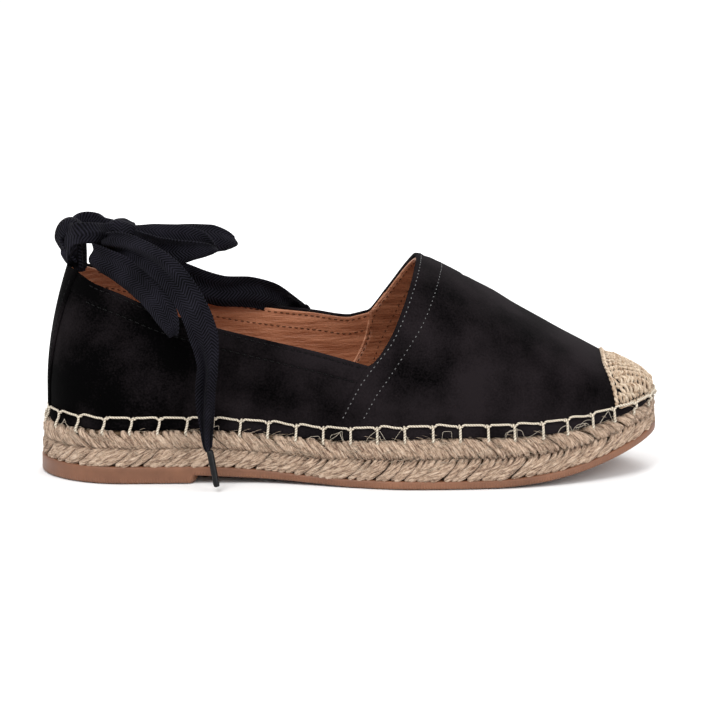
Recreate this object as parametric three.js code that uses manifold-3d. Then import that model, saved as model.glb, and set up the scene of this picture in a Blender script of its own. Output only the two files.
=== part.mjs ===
// Espadrille for the right foot, with an ankle tie knotted in a bow behind the heel.
// Millimetres. X runs to the toe, Y to the inner (medial) side, Z up. The origin is on
// the floor under the middle of the sole.

import * as THREE from "three";
import { mergeVertices } from "three/addons/utils/BufferGeometryUtils.js";
import Module from "manifold-3d";

const wasm = await Module();
wasm.setup();

// Driving dimensions
const SOLE_LENGTH = 250;
const BALL_WIDTH = 90;
const TOE_SWING = 9;
const HEEL_ROUND = 33;
const TOE_ROUND = 72;
const TOE_FULLNESS = 2.4;
const TOE_SPRING = 15;
const SPRING_LENGTH = 75;
const SPRING_CURVE = 2.3;
const INSTEP_HEIGHT = 89;
const RIDGE_OFFSET = 3;
const FIT_GAP = 0.3;

// Rubber outsole
const HEEL_RUBBER = 6.8;
const FOREFOOT_RUBBER = 3.2;
const HEEL_BLOCK_LENGTH = 61;
const HEEL_STEP = 3.2;
const HEEL_STEP_RUN = 1.2;
const ARCH_END = 125;
const RUBBER_EDGE = 0.9;

// Braided jute midsole: two rows of braid, one on the other
const JUTE_HEIGHT = 14.2;
const BRAID_BULGE = 1.7;
const BRAID_ROWS = 2;
const BRAID_FACETS = 4;

// Insole
const INSOLE_THICKNESS = 2.5;
const INSOLE_CLEARANCE = 0.4;

// Upper
const FEATHER_INSET = 3.4;
const WALL = 2;
const ROLL_HEIGHT = 4.6;
const ROLL_BULGE = 1.1;
const VAMP_STEP = 0.9;
const VAMP_OVERLAP = 1.8;
const VAMP_SLANT = 12.5;
const BAND_WIDTH = 8;
const BAND_STEP = 0.4;
const HEEL_LEAN = 8.5;
const LEAN_START = 36;
const LEAN_END = 84;
const LEAN_REACH = 83;
const LEAN_CURVE = 1.8;
const COLLAR_HALF = 28;
const DROP = 3;

// Toe cap
const CAP_THICKNESS = 1.3;
const CAP_DEPTH = 23;
const CAP_SIDE_DEPTH = 15;
const CAP_LIFT = 4.2;

// Heel stay
const STAY_THICKNESS = 1.1;
const STAY_TOP_WIDTH = 25;
const STAY_FOOT_WIDTH = 14;
const STAY_TOP = 79;
const STAY_REACH = 34;

// Pull loop
const LOOP_CENTRE = { x: 12.4, z: 95.6 };
const LOOP_RADIUS = 6.6;
const LOOP_STRETCH = 1.18;
const LOOP_TURN = { start: -0.12, sweep: 1.24 };
const LOOP_STRAP = 1.7;
const LOOP_WIDTH = 11;
const LOOP_NECK = { back: 13.2, front: 18.4 };
const NECK_SLOPE = 0.7;

// Ankle tie, a cotton tape
const TAPE_THICKNESS = 1.2;
const KNOT_RADIUS = 5.2;
const KNOT_START = 26.4;
const KNOT_END = 38.6;
const KNOT_HEIGHT = 96.6;
const KNOT_SIDES = 12;
const AGLET_RADIUS = 1.3;

// Half widths of the sole as shares of half the ball width, and the swing of its centre
// line as a share of the toe swing, by share of the length from the heel
const PLAN = [
  { at: 0.0, lateral: 0.7, medial: 0.7, swing: 0 },
  { at: 0.13, lateral: 0.725, medial: 0.71, swing: 0 },
  { at: 0.25, lateral: 0.705, medial: 0.665, swing: 0 },
  { at: 0.36, lateral: 0.69, medial: 0.635, swing: 0 },
  { at: 0.43, lateral: 0.765, medial: 0.66, swing: 0 },
  { at: 0.5, lateral: 0.875, medial: 0.735, swing: 0.02 },
  { at: 0.58, lateral: 0.98, medial: 0.85, swing: 0.08 },
  { at: 0.66, lateral: 1.0, medial: 0.945, swing: 0.2 },
  { at: 0.72, lateral: 0.995, medial: 0.985, swing: 0.32 },
  { at: 0.78, lateral: 0.98, medial: 0.975, swing: 0.45 },
  { at: 0.86, lateral: 0.93, medial: 0.91, swing: 0.65 },
  { at: 0.92, lateral: 0.87, medial: 0.84, swing: 0.82 },
  { at: 1.0, lateral: 0.78, medial: 0.76, swing: 1 },
];

// Height of the jute as a share of its height at the heel
const JUTE = [
  { at: 0.0, height: 1.0 },
  { at: 0.25, height: 0.98 },
  { at: 0.36, height: 0.98 },
  { at: 0.46, height: 1.02 },
  { at: 0.58, height: 1.15 },
  { at: 0.68, height: 1.19 },
  { at: 0.78, height: 1.13 },
  { at: 0.86, height: 1.0 },
  { at: 0.93, height: 0.86 },
  { at: 1.0, height: 0.68 },
];

// Ridge of the upper as a share of the instep height, how full its sections are, how far
// the ridge lies to the inner side of the middle as a share of RIDGE_OFFSET, and the height
// of the stitched roll at its foot as a share of ROLL_HEIGHT
const SECTIONS = [
  { at: 0.0, ridge: 1.2, full: 0.9, inward: 0, roll: 1 },
  { at: 0.2, ridge: 1.19, full: 0.9, inward: 0, roll: 1 },
  { at: 0.4, ridge: 1.14, full: 0.9, inward: 0.3, roll: 1 },
  { at: 0.52, ridge: 1.06, full: 0.93, inward: 0.6, roll: 1 },
  { at: 0.62, ridge: 0.968, full: 0.95, inward: 0.9, roll: 1 },
  { at: 0.7, ridge: 0.853, full: 0.92, inward: 1, roll: 1 },
  { at: 0.76, ridge: 0.756, full: 0.88, inward: 1, roll: 1 },
  { at: 0.82, ridge: 0.655, full: 0.84, inward: 1, roll: 1 },
  { at: 0.88, ridge: 0.562, full: 0.8, inward: 1, roll: 0.95 },
  { at: 0.93, ridge: 0.487, full: 0.76, inward: 0.9, roll: 0.85 },
  { at: 0.965, ridge: 0.442, full: 0.74, inward: 0.6, roll: 0.7 },
  { at: 0.985, ridge: 0.412, full: 0.74, inward: 0.3, roll: 0.6 },
  { at: 1.0, ridge: 0.378, full: 0.74, inward: 0, roll: 0.5 },
];

// Edge of the opening, from behind the heel along the topline to the notch and up the
// throat to the vamp's peak: places as shares of the length, heights as shares of the instep
const OPENING = [
  { at: -0.06, lateral: 0.945, medial: 0.945 },
  { at: 0.05, lateral: 0.94, medial: 0.94 },
  { at: 0.09, lateral: 0.893, medial: 0.897 },
  { at: 0.135, lateral: 0.852, medial: 0.862 },
  { at: 0.2, lateral: 0.775, medial: 0.8 },
  { at: 0.29, lateral: 0.7, medial: 0.745 },
  { at: 0.37, lateral: 0.645, medial: 0.705 },
  { at: 0.44, lateral: 0.607, medial: 0.67 },
  { at: 0.5, lateral: 0.57, medial: 0.638 },
  { at: 0.533, lateral: 0.548, medial: 0.672 },
  { at: 0.55, lateral: 0.602, medial: 0.745 },
  { at: 0.57, lateral: 0.7, medial: 0.832 },
  { at: 0.585, lateral: 0.8, medial: 0.9 },
  { at: 0.6, lateral: 0.905, medial: 0.965 },
  { at: 0.615, lateral: 1.03, medial: 1.03 },
  { at: 0.66, lateral: 1.5, medial: 1.5 },
];

// Barrel of the knot: radius as a share of KNOT_RADIUS by share of its length
const KNOT_PROFILE = [
  { along: 0, radius: 0.72 },
  { along: 0.18, radius: 0.95 },
  { along: 0.5, radius: 1 },
  { along: 0.82, radius: 0.95 },
  { along: 1, radius: 0.72 },
];

// Routes of the tape, from the heel's back: centre of the tape, direction of its width
// and how wide it lies there
const STRAND = [
  { x: 25.7, y: -3.6, z: 96.5 },
  { x: 22, y: -8.4, z: 97.5 },
  { x: 17, y: -9.9, z: 98 },
  { x: 13.6, y: -7, z: 97 },
  { x: 13.8, y: 0, z: 96 },
  { x: 13.6, y: 7, z: 97.5 },
  { x: 17, y: 9.9, z: 99.5 },
  { x: 22, y: 8.4, z: 99.5 },
  { x: 25.7, y: 3.6, z: 97.5 },
];
const LOOP_OUTER = [
  { x: 39, y: -3, z: 99, wx: 0, wy: 1, wz: 0, wide: 6 },
  { x: 46, y: -6, z: 101.5, wx: 0, wy: 1, wz: 0.1, wide: 11 },
  { x: 56, y: -8.5, z: 101, wx: 0, wy: 1, wz: 0.15, wide: 14 },
  { x: 66, y: -9.5, z: 97, wx: 0, wy: 1, wz: 0.2, wide: 14 },
  { x: 71.5, y: -10, z: 90.5, wx: 0, wy: 1, wz: 0.2, wide: 13 },
  { x: 64, y: -9.5, z: 87, wx: 0, wy: 1, wz: 0.2, wide: 13 },
  { x: 53, y: -8, z: 87, wx: 0, wy: 1, wz: 0.15, wide: 12 },
  { x: 45, y: -5, z: 90.5, wx: 0, wy: 1, wz: 0.1, wide: 9 },
  { x: 39, y: -3, z: 94, wx: 0, wy: 1, wz: 0, wide: 6 },
];
const LOOP_INNER = [
  { x: 39, y: 3.5, z: 98.5, wx: 0, wy: 1, wz: 0, wide: 6 },
  { x: 48, y: 8, z: 99.5, wx: 0, wy: 1, wz: -0.1, wide: 10 },
  { x: 60, y: 10, z: 99, wx: 0, wy: 1, wz: -0.15, wide: 13 },
  { x: 71, y: 11.5, z: 97, wx: 0, wy: 1, wz: -0.2, wide: 13 },
  { x: 78.5, y: 12.5, z: 90, wx: 0, wy: 1, wz: -0.2, wide: 12 },
  { x: 71, y: 12, z: 87, wx: 0, wy: 1, wz: -0.2, wide: 12 },
  { x: 58, y: 10, z: 88.5, wx: 0, wy: 1, wz: -0.15, wide: 11 },
  { x: 47, y: 7, z: 91.5, wx: 0, wy: 1, wz: -0.1, wide: 9 },
  { x: 39, y: 4, z: 94.5, wx: 0, wy: 1, wz: 0, wide: 6 },
];
const LOOP_LOW = [
  { x: 28, y: -6.5, z: 87.5, wx: 0.7, wy: 0, wz: 0.7, wide: 6 },
  { x: 33.5, y: -12, z: 83.5, wx: 0.7, wy: 0, wz: 0.7, wide: 9 },
  { x: 41, y: -22, z: 81.3, wx: 0.6, wy: 0.2, wz: 0.7, wide: 11 },
  { x: 48, y: -30, z: 75.5, wx: 0.6, wy: 0, wz: 0.7, wide: 12 },
  { x: 53, y: -33, z: 69, wx: 0.8, wy: 0, wz: 0.5, wide: 10 },
  { x: 56, y: -33.5, z: 63, wx: 0.9, wy: 0, wz: 0.3, wide: 7 },
];
const TAIL_OUTER = [
  { x: 27, y: -8, z: 93.5, wx: 0.2, wy: -0.5, wz: 0.8, wide: 8 },
  { x: 32, y: -15, z: 94.5, wx: 0.2, wy: -0.5, wz: 0.8, wide: 10 },
  { x: 42, y: -24, z: 92, wx: 0.4, wy: -0.4, wz: 0.8, wide: 11 },
  { x: 53, y: -32.5, z: 85.5, wx: 0.7, wy: -0.2, wz: 0.6, wide: 12 },
  { x: 62, y: -37.5, z: 74, wx: 0.9, wy: 0, wz: 0.3, wide: 12 },
  { x: 67, y: -38.5, z: 61, wx: 1, wy: 0, wz: 0, wide: 12 },
  { x: 68.5, y: -38.5, z: 49, wx: 1, wy: -0.3, wz: 0, wide: 8 },
  { x: 67.5, y: -39, z: 38, wx: 1, wy: -0.6, wz: 0, wide: 8 },
  { x: 68, y: -41, z: 27, wx: 1, wy: 0, wz: 0, wide: 6 },
  { x: 68.8, y: -43.6, z: 16.5, wx: 1, wy: 0, wz: 0, wide: 3 },
];
const TAIL_INNER = [
  { x: 39, y: 0.6, z: 91, wx: 0, wy: 1, wz: 0.3, wide: 5 },
  { x: 48, y: 4, z: 84, wx: 0, wy: 1, wz: 0.8, wide: 9 },
  { x: 58, y: 10, z: 76, wx: 0.2, wy: 0.4, wz: 1, wide: 12 },
  { x: 72, y: 14.5, z: 70, wx: 0.1, wy: 0, wz: 1, wide: 13 },
  { x: 86, y: 16.8, z: 68.7, wx: 0, wy: 0.05, wz: 1, wide: 13 },
  { x: 95, y: 17.7, z: 68.2, wx: 0.4, wy: 0, wz: 1, wide: 12 },
  { x: 102, y: 22, z: 65.6, wx: 1, wy: -0.4, wz: 0.3, wide: 11 },
  { x: 106, y: 27.2, z: 64, wx: 1, wy: -0.3, wz: 0, wide: 11 },
  { x: 109, y: 33.4, z: 59, wx: 1, wy: 0, wz: 0, wide: 11 },
  { x: 111, y: 35, z: 47, wx: 1, wy: 0, wz: 0, wide: 9 },
  { x: 112.5, y: 37, z: 34, wx: 1, wy: 0.3, wz: 0, wide: 8 },
  { x: 114, y: 40, z: 24, wx: 1, wy: 0, wz: 0, wide: 6 },
  { x: 114.5, y: 43, z: 16.5, wx: 1, wy: 0, wz: 0, wide: 3 },
];
const AGLET_OUTER = [
  { x: 68.9, y: -43.7, z: 16 },
  { x: 71, y: -48, z: 1.7 },
];
const AGLET_INNER = [
  { x: 114.6, y: 43.2, z: 16 },
  { x: 116.5, y: 47.5, z: 1.7 },
];

// Value of a table's column at a share of the length, eased through its rows
function column(rows, name, at) {
  const last = rows.length - 1;
  let i = 0;
  while (i < last - 1 && at > rows[i + 1].at) {
    i += 1;
  }
  const slope = (k) => {
    const a = rows[Math.max(k - 1, 0)];
    const b = rows[Math.min(k + 1, last)];
    return (b[name] - a[name]) / (b.at - a.at);
  };
  const span = rows[i + 1].at - rows[i].at;
  const t = (at - rows[i].at) / span;
  const h = t * t * (3 - 2 * t);
  const start = t * (1 - t) * (1 - t) * span * slope(i);
  const end = t * t * (t - 1) * span * slope(i + 1);
  return rows[i][name] * (1 - h) + rows[i + 1][name] * h + start + end;
}

// Share of the way from one place to another, held at both ends
function ramp(value, from, to) {
  return THREE.MathUtils.clamp((value - from) / (to - from), 0, 1);
}

// Outline of the sole at a share of its length, grown outwards by a distance
function rawPlan(at, grow) {
  const length = SOLE_LENGTH + 2 * grow;
  const x = at * length - grow;
  const heel = 1 - ramp(at * length, 0, HEEL_ROUND + grow);
  const toe = 1 - ramp((1 - at) * length, 0, TOE_ROUND + grow);
  const cap = Math.sqrt(1 - heel * heel) * (1 - toe ** TOE_FULLNESS) ** (1 / TOE_FULLNESS);
  const centre = TOE_SWING * column(PLAN, "swing", at);
  const half = (side) => (column(PLAN, side, at) * (BALL_WIDTH / 2) + grow) * cap;
  return { x, centre, lateral: centre - half("lateral"), medial: centre + half("medial") };
}

// Stations along the shoe, as shares of its length, closer together round heel and toe
function stations(extra) {
  const heelShare = HEEL_ROUND / SOLE_LENGTH;
  const toeShare = 1 - TOE_ROUND / SOLE_LENGTH;
  const heelSteps = 6;
  const toeSteps = 9;
  const middleSteps = 9;
  const list = [];
  for (let k = 0; k < heelSteps; k += 1) {
    list.push(heelShare * (1 - Math.cos((k * Math.PI) / (2 * heelSteps))));
  }
  for (let k = 0; k < middleSteps; k += 1) {
    list.push(heelShare + ((toeShare - heelShare) * k) / middleSteps);
  }
  for (let k = 0; k < toeSteps; k += 1) {
    list.push(toeShare + (1 - toeShare) * Math.sin((k * Math.PI) / (2 * toeSteps)));
  }
  list.push(1);
  return list.concat(extra).sort((a, b) => a - b);
}

const UPPER_STATIONS = stations([]);
const SOLE_STATIONS = stations([
  HEEL_BLOCK_LENGTH / SOLE_LENGTH,
  (HEEL_BLOCK_LENGTH + HEEL_STEP_RUN) / SOLE_LENGTH,
]);

// The sole's middle lies on the X axis, whatever its outline
const WIDEST = SOLE_STATIONS.map((at) => rawPlan(at, 0));
const OUTER_REACH = Math.min(...WIDEST.map((p) => p.lateral));
const INNER_REACH = Math.max(...WIDEST.map((p) => p.medial));
const SIDE_SHIFT = -(OUTER_REACH + INNER_REACH) / 2;

function plan(at, grow) {
  const raw = rawPlan(at, grow);
  return {
    x: raw.x - SOLE_LENGTH / 2,
    centre: raw.centre + SIDE_SHIFT,
    lateral: raw.lateral + SIDE_SHIFT,
    medial: raw.medial + SIDE_SHIFT,
  };
}

// Heights of the sole's layers
function spring(at) {
  const rise = 1 - ramp((1 - at) * SOLE_LENGTH, 0, SPRING_LENGTH);
  return TOE_SPRING * rise ** SPRING_CURVE;
}

function underside(at) {
  const x = at * SOLE_LENGTH;
  const step = ramp(x, HEEL_BLOCK_LENGTH, HEEL_BLOCK_LENGTH + HEEL_STEP_RUN);
  const arch = 1 - ramp(x, HEEL_BLOCK_LENGTH + HEEL_STEP_RUN, ARCH_END);
  return HEEL_STEP * step * arch + spring(at);
}

function rubberTop(at) {
  const fall = ramp(at * SOLE_LENGTH, HEEL_BLOCK_LENGTH, ARCH_END);
  const eased = fall * fall * (3 - 2 * fall);
  return HEEL_RUBBER + (FOREFOOT_RUBBER - HEEL_RUBBER) * eased + spring(at);
}

function juteTop(at) {
  return rubberTop(at) + FIT_GAP + JUTE_HEIGHT * column(JUTE, "height", at);
}

function seat(at) {
  return juteTop(at) + FIT_GAP;
}

// Joins rings of equally many points into one closed skin, with the given cap triangles
function skin(rings, cap) {
  const size = rings[0].length;
  const positions = [];
  rings.forEach((ring) => ring.forEach((p) => positions.push(p.x, p.y, p.z)));
  const faces = [];
  for (let r = 0; r < rings.length - 1; r += 1) {
    for (let i = 0; i < size; i += 1) {
      const j = (i + 1) % size;
      const a = r * size;
      const b = a + size;
      faces.push([a + i, a + j, b + j], [a + i, b + j, b + i]);
    }
  }
  const top = (rings.length - 1) * size;
  cap.forEach(([a, b, c]) => {
    faces.push([a, c, b], [top + a, top + b, top + c]);
  });
  return closed(positions, faces);
}

// A solid from positions and faces, with shared points merged and flat faces dropped
function closed(positions, faces) {
  const geometry = new THREE.BufferGeometry();
  geometry.setAttribute("position", new THREE.Float32BufferAttribute(positions, 3));
  geometry.setIndex(faces.flat());
  return solid(geometry);
}

function solid(geometry) {
  const bare = geometry.clone();
  bare.deleteAttribute("normal");
  bare.deleteAttribute("uv");
  const merged = mergeVertices(bare, 1e-4);
  const index = Array.from(merged.index.array);
  const kept = [];
  for (let i = 0; i < index.length; i += 3) {
    const [a, b, c] = index.slice(i, i + 3);
    if (a !== b && b !== c && a !== c) {
      kept.push(a, b, c);
    }
  }
  const body = new wasm.Manifold(
    new wasm.Mesh({
      numProp: 3,
      vertProperties: Float32Array.from(merged.attributes.position.array),
      triVerts: Uint32Array.from(kept),
    }),
  );
  return body.volume() < 0 ? flipped(merged, kept) : body;
}

function flipped(merged, index) {
  const turned = [];
  for (let i = 0; i < index.length; i += 3) {
    turned.push(index[i], index[i + 2], index[i + 1]);
  }
  return new wasm.Manifold(
    new wasm.Mesh({
      numProp: 3,
      vertProperties: Float32Array.from(merged.attributes.position.array),
      triVerts: Uint32Array.from(turned),
    }),
  );
}

// Caps that close a ring of stations straight across, from side to side
function ladder(count) {
  const size = 2 * count - 2;
  const faces = [];
  for (let i = 0; i < count - 1; i += 1) {
    const far = (size - i) % size;
    faces.push([i, i + 1, far]);
    if (i < count - 2) {
      faces.push([i + 1, size - i - 1, far]);
    }
  }
  return faces.filter(([a, b, c]) => a !== b && b !== c && a !== c);
}

// One ring round the sole: heel, outer side, toe, inner side
function soleRing(grow, height) {
  const points = SOLE_STATIONS.map((at) => ({ at, ...plan(at, grow) }));
  const outer = points.map((p) => new THREE.Vector3(p.x, p.lateral, height(p.at)));
  const inner = points.slice(1, -1).map((p) => new THREE.Vector3(p.x, p.medial, height(p.at)));
  return outer.concat(inner.reverse());
}

function stack(levels) {
  const rings = levels.map(({ grow, height }) => soleRing(grow, height));
  return skin(rings, ladder(SOLE_STATIONS.length));
}

function makeOutsole() {
  return stack([
    { grow: -RUBBER_EDGE, height: underside },
    { grow: 0, height: (at) => underside(at) + RUBBER_EDGE },
    { grow: 0, height: (at) => rubberTop(at) - RUBBER_EDGE / 2 },
    { grow: -RUBBER_EDGE / 2, height: rubberTop },
  ]);
}

function makeJuteMidsole() {
  const levels = [];
  const base = (at) => rubberTop(at) + FIT_GAP;
  for (let row = 0; row < BRAID_ROWS; row += 1) {
    for (let k = 0; k <= BRAID_FACETS; k += 1) {
      const share = (row + k / BRAID_FACETS) / BRAID_ROWS;
      const grow = BRAID_BULGE * (Math.sin((Math.PI * k) / BRAID_FACETS) - 1);
      if (row === 0 || k > 0) {
        levels.push({ grow, height: (at) => base(at) + (juteTop(at) - base(at)) * share });
      }
    }
  }
  return stack(levels);
}

function makeInsole() {
  const grow = -FEATHER_INSET - WALL - INSOLE_CLEARANCE;
  return stack([
    { grow, height: (at) => seat(at) },
    { grow, height: (at) => seat(at) + INSOLE_THICKNESS },
  ]);
}

// The upper's own form: sections from the seat over the ridge and down the other side,
// grown outwards by a distance and let down below the seat by another
function lastForm(grow, drop, roll) {
  const rollSteps = 3;
  const archSteps = 9;
  const rows = UPPER_STATIONS.map((at) => sectionPoints(at, grow, drop, roll, rollSteps, archSteps));
  const size = rows[0].length;
  const positions = [];
  rows.forEach((row) => row.forEach((p) => positions.push(p.x, p.y, p.z)));
  const faces = [];
  for (let r = 0; r < rows.length - 1; r += 1) {
    for (let i = 0; i < size; i += 1) {
      const j = (i + 1) % size;
      const a = r * size;
      const b = a + size;
      faces.push([a + i, b + i, b + j], [a + i, b + j, a + j]);
    }
  }
  return closed(positions, faces);
}

function sectionPoints(at, grow, drop, roll, rollSteps, archSteps) {
  const base = seat(at);
  const rollHeight = ROLL_HEIGHT * column(SECTIONS, "roll", at);
  const foot = base + rollHeight;
  const ridge = INSTEP_HEIGHT * column(SECTIONS, "ridge", at) + grow;
  const full = column(SECTIONS, "full", at);
  const inward = RIDGE_OFFSET * column(SECTIONS, "inward", at);
  const place = (side, out, z, share) => {
    const edge = plan(at, grow - FEATHER_INSET + out);
    const middle = edge.centre + inward * (1 - share);
    const y = middle + (edge[side] - edge.centre) * share;
    const fade = 1 - ramp(at * SOLE_LENGTH, 0, LEAN_REACH);
    return new THREE.Vector3(edge.x + heelLean(z) * fade, y, z);
  };
  const half = (side) => {
    const points = [];
    for (let k = 0; k < rollSteps; k += 1) {
      const rise = k / rollSteps;
      const z = k === 0 ? base - drop : base + rollHeight * rise;
      points.push(place(side, roll * Math.sin(Math.PI * (0.25 + 0.75 * rise)), z, 1));
    }
    for (let k = 0; k < archSteps; k += 1) {
      const turn = (k * Math.PI) / (2 * archSteps);
      const z = foot + (ridge - foot) * Math.sin(turn) ** full;
      points.push(place(side, 0, z, Math.cos(turn) ** full));
    }
    return points;
  };
  const top = place("lateral", 0, ridge, 0);
  return half("lateral").concat([top], half("medial").reverse());
}

// The heel's back leans forward as it rises
function heelLean(z) {
  return HEEL_LEAN * ramp(z, LEAN_START, LEAN_END) ** LEAN_CURVE;
}

// A solid between outlines in side view, each at its own place across the shoe
function acrossForm(outlines) {
  const flat = outlines[0].points.map((p) => new THREE.Vector2(p.x, p.z));
  const cap = THREE.ShapeUtils.triangulateShape(flat, []);
  const rings = outlines.map(({ y, points }) => points.map((p) => new THREE.Vector3(p.x, y, p.z)));
  return skin(rings, cap);
}

// Everything above the opening's edge, lowered by a distance
function openingForm(lowered) {
  const roof = INSTEP_HEIGHT * 2;
  const outline = (side) => {
    const points = OPENING.map((row) => ({
      x: row.at * SOLE_LENGTH - SOLE_LENGTH / 2,
      z: row[side] * INSTEP_HEIGHT - lowered,
    }));
    const first = points[0];
    const last = points[points.length - 1];
    return [...points, { x: last.x, z: roof }, { x: first.x, z: roof }];
  };
  return acrossForm([
    { y: -BALL_WIDTH, points: outline("lateral") },
    { y: -COLLAR_HALF, points: outline("lateral") },
    { y: COLLAR_HALF, points: outline("medial") },
    { y: BALL_WIDTH, points: outline("medial") },
  ]);
}

// A slab across the shoe with one outline in side view
function slab(points) {
  return acrossForm([
    { y: -BALL_WIDTH, points },
    { y: BALL_WIDTH, points },
  ]);
}

// The lowest row of the opening's outer side is the notch, where the vamp begins
function vampZone() {
  const end = SOLE_LENGTH / 2 + BALL_WIDTH;
  const lowest = OPENING.reduce((a, b) => (b.lateral < a.lateral ? b : a));
  const notch = (lowest.at - 0.5) * SOLE_LENGTH - VAMP_OVERLAP;
  return slab([
    { x: notch - VAMP_SLANT, z: 0 },
    { x: end, z: 0 },
    { x: end, z: INSTEP_HEIGHT * 2 },
    { x: notch, z: INSTEP_HEIGHT * 2 },
    { x: notch, z: lowest.lateral * INSTEP_HEIGHT },
  ]);
}

function capZone() {
  const end = SOLE_LENGTH / 2 + BALL_WIDTH;
  const start = 1 - CAP_SIDE_DEPTH / SOLE_LENGTH;
  const steps = 6;
  const low = [];
  for (let k = 0; k <= steps; k += 1) {
    const at = start + ((1 - start) * k) / steps;
    low.push({ x: (at - 0.5) * SOLE_LENGTH, z: seat(at) + CAP_LIFT });
  }
  const tip = low[low.length - 1];
  const ridge = INSTEP_HEIGHT * column(SECTIONS, "ridge", 1 - CAP_DEPTH / SOLE_LENGTH);
  const clear = VAMP_STEP + FIT_GAP + 2 * CAP_THICKNESS;
  return slab([
    ...low,
    { x: end, z: tip.z },
    { x: end, z: INSTEP_HEIGHT },
    { x: SOLE_LENGTH / 2 - CAP_DEPTH, z: ridge + clear },
  ]);
}

function makeUpper() {
  const body = lastForm(0, 0, ROLL_BULGE);
  const vamp = lastForm(VAMP_STEP, 0, ROLL_BULGE).intersect(vampZone());
  const band = lastForm(BAND_STEP, 0, 0).intersect(openingForm(BAND_WIDTH));
  const room = lastForm(-WALL, DROP, 0);
  return body.add(vamp).add(band).subtract(room).subtract(openingForm(0));
}

function makeToeCap() {
  const outer = lastForm(VAMP_STEP + FIT_GAP + CAP_THICKNESS, 0, 0);
  const inner = lastForm(VAMP_STEP + FIT_GAP, DROP, ROLL_BULGE);
  return outer.subtract(inner).intersect(capZone());
}

function makeHeelStay() {
  const outer = lastForm(BAND_STEP + FIT_GAP + STAY_THICKNESS, 0, 0);
  const inner = lastForm(BAND_STEP + FIT_GAP, DROP, ROLL_BULGE);
  const low = seat(0) + ROLL_HEIGHT;
  const back = -SOLE_LENGTH / 2 - BALL_WIDTH;
  const front = -SOLE_LENGTH / 2 + STAY_REACH;
  const across = (x) => [
    new THREE.Vector3(x, -STAY_FOOT_WIDTH / 2, low),
    new THREE.Vector3(x, STAY_FOOT_WIDTH / 2, low),
    new THREE.Vector3(x, STAY_TOP_WIDTH / 2, STAY_TOP),
    new THREE.Vector3(x, -STAY_TOP_WIDTH / 2, STAY_TOP),
  ];
  const zone = skin([across(back), across(front)], [[0, 1, 2], [0, 2, 3]]);
  return outer.subtract(inner).intersect(zone).subtract(openingForm(0));
}

// Height of the opening's edge at a place along the shoe
function topline(x, side) {
  const at = x / SOLE_LENGTH;
  const next = OPENING.findIndex((row) => row.at >= at);
  const a = OPENING[next - 1];
  const b = OPENING[next];
  return INSTEP_HEIGHT * THREE.MathUtils.mapLinear(at, a.at, b.at, a[side], b[side]);
}

// A strap bent to a drop and sewn down at its neck
function makePullLoop() {
  const outline = (inset, lift) => {
    const steps = 14;
    const radius = LOOP_RADIUS - inset;
    const points = [];
    for (let k = 0; k <= steps; k += 1) {
      const turn = Math.PI * (LOOP_TURN.start + (LOOP_TURN.sweep * k) / steps);
      points.push(new THREE.Vector2(
        LOOP_CENTRE.x + radius * Math.cos(turn),
        LOOP_CENTRE.z + radius * LOOP_STRETCH * Math.sin(turn),
      ));
    }
    const back = LOOP_NECK.back + inset * NECK_SLOPE;
    const front = LOOP_NECK.front - inset * NECK_SLOPE;
    points.push(new THREE.Vector2(back, topline(back, "lateral") + lift));
    points.push(new THREE.Vector2(front, topline(front, "lateral") + lift));
    return points;
  };
  const shape = new THREE.Shape(outline(0, FIT_GAP));
  shape.holes.push(new THREE.Path(outline(LOOP_STRAP, FIT_GAP + 2 * LOOP_STRAP)));
  const strap = new THREE.ExtrudeGeometry(shape, { depth: LOOP_WIDTH, bevelEnabled: false });
  strap.rotateX(Math.PI / 2);
  strap.translate(-SOLE_LENGTH / 2, LOOP_WIDTH / 2, 0);
  return solid(strap);
}

function fromHeel(row) {
  return new THREE.Vector3(row.x - SOLE_LENGTH / 2, row.y, row.z);
}

// A flat tape along a route, as wide at each row as the row says
function tape(rows, thickness) {
  const curve = new THREE.CatmullRomCurve3(rows.map(fromHeel), false, "centripetal");
  const stepsPerRow = 2;
  const count = (rows.length - 1) * stepsPerRow;
  const rings = [];
  for (let k = 0; k <= count; k += 1) {
    const place = k / stepsPerRow;
    const i = Math.min(Math.floor(place), rows.length - 2);
    const t = place - i;
    const mix = (name) => rows[i][name] * (1 - t) + rows[i + 1][name] * t;
    const centre = curve.getPoint(k / count);
    const along = curve.getTangent(k / count);
    const across = new THREE.Vector3(mix("wx"), mix("wy"), mix("wz"));
    across.addScaledVector(along, -across.dot(along)).normalize();
    const out = new THREE.Vector3().crossVectors(along, across);
    const corner = (a, b) => centre.clone()
      .addScaledVector(across, (a * mix("wide")) / 2)
      .addScaledVector(out, (b * thickness) / 2);
    rings.push([corner(-1, -1), corner(1, -1), corner(1, 1), corner(-1, 1)]);
  }
  return skin(rings, [[0, 1, 2], [0, 2, 3]]);
}

// A round or oval cord along a route
function cord(rows, halfWide, halfHigh, sides, steps) {
  const section = new THREE.Shape();
  for (let k = 0; k < sides; k += 1) {
    const turn = (2 * Math.PI * k) / sides;
    const point = [halfWide * Math.cos(turn), halfHigh * Math.sin(turn)];
    if (k === 0) {
      section.moveTo(...point);
    } else {
      section.lineTo(...point);
    }
  }
  section.closePath();
  const extrudePath = new THREE.CatmullRomCurve3(rows.map(fromHeel), false, "centripetal");
  return solid(new THREE.ExtrudeGeometry(section, { extrudePath, steps, bevelEnabled: false }));
}

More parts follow.
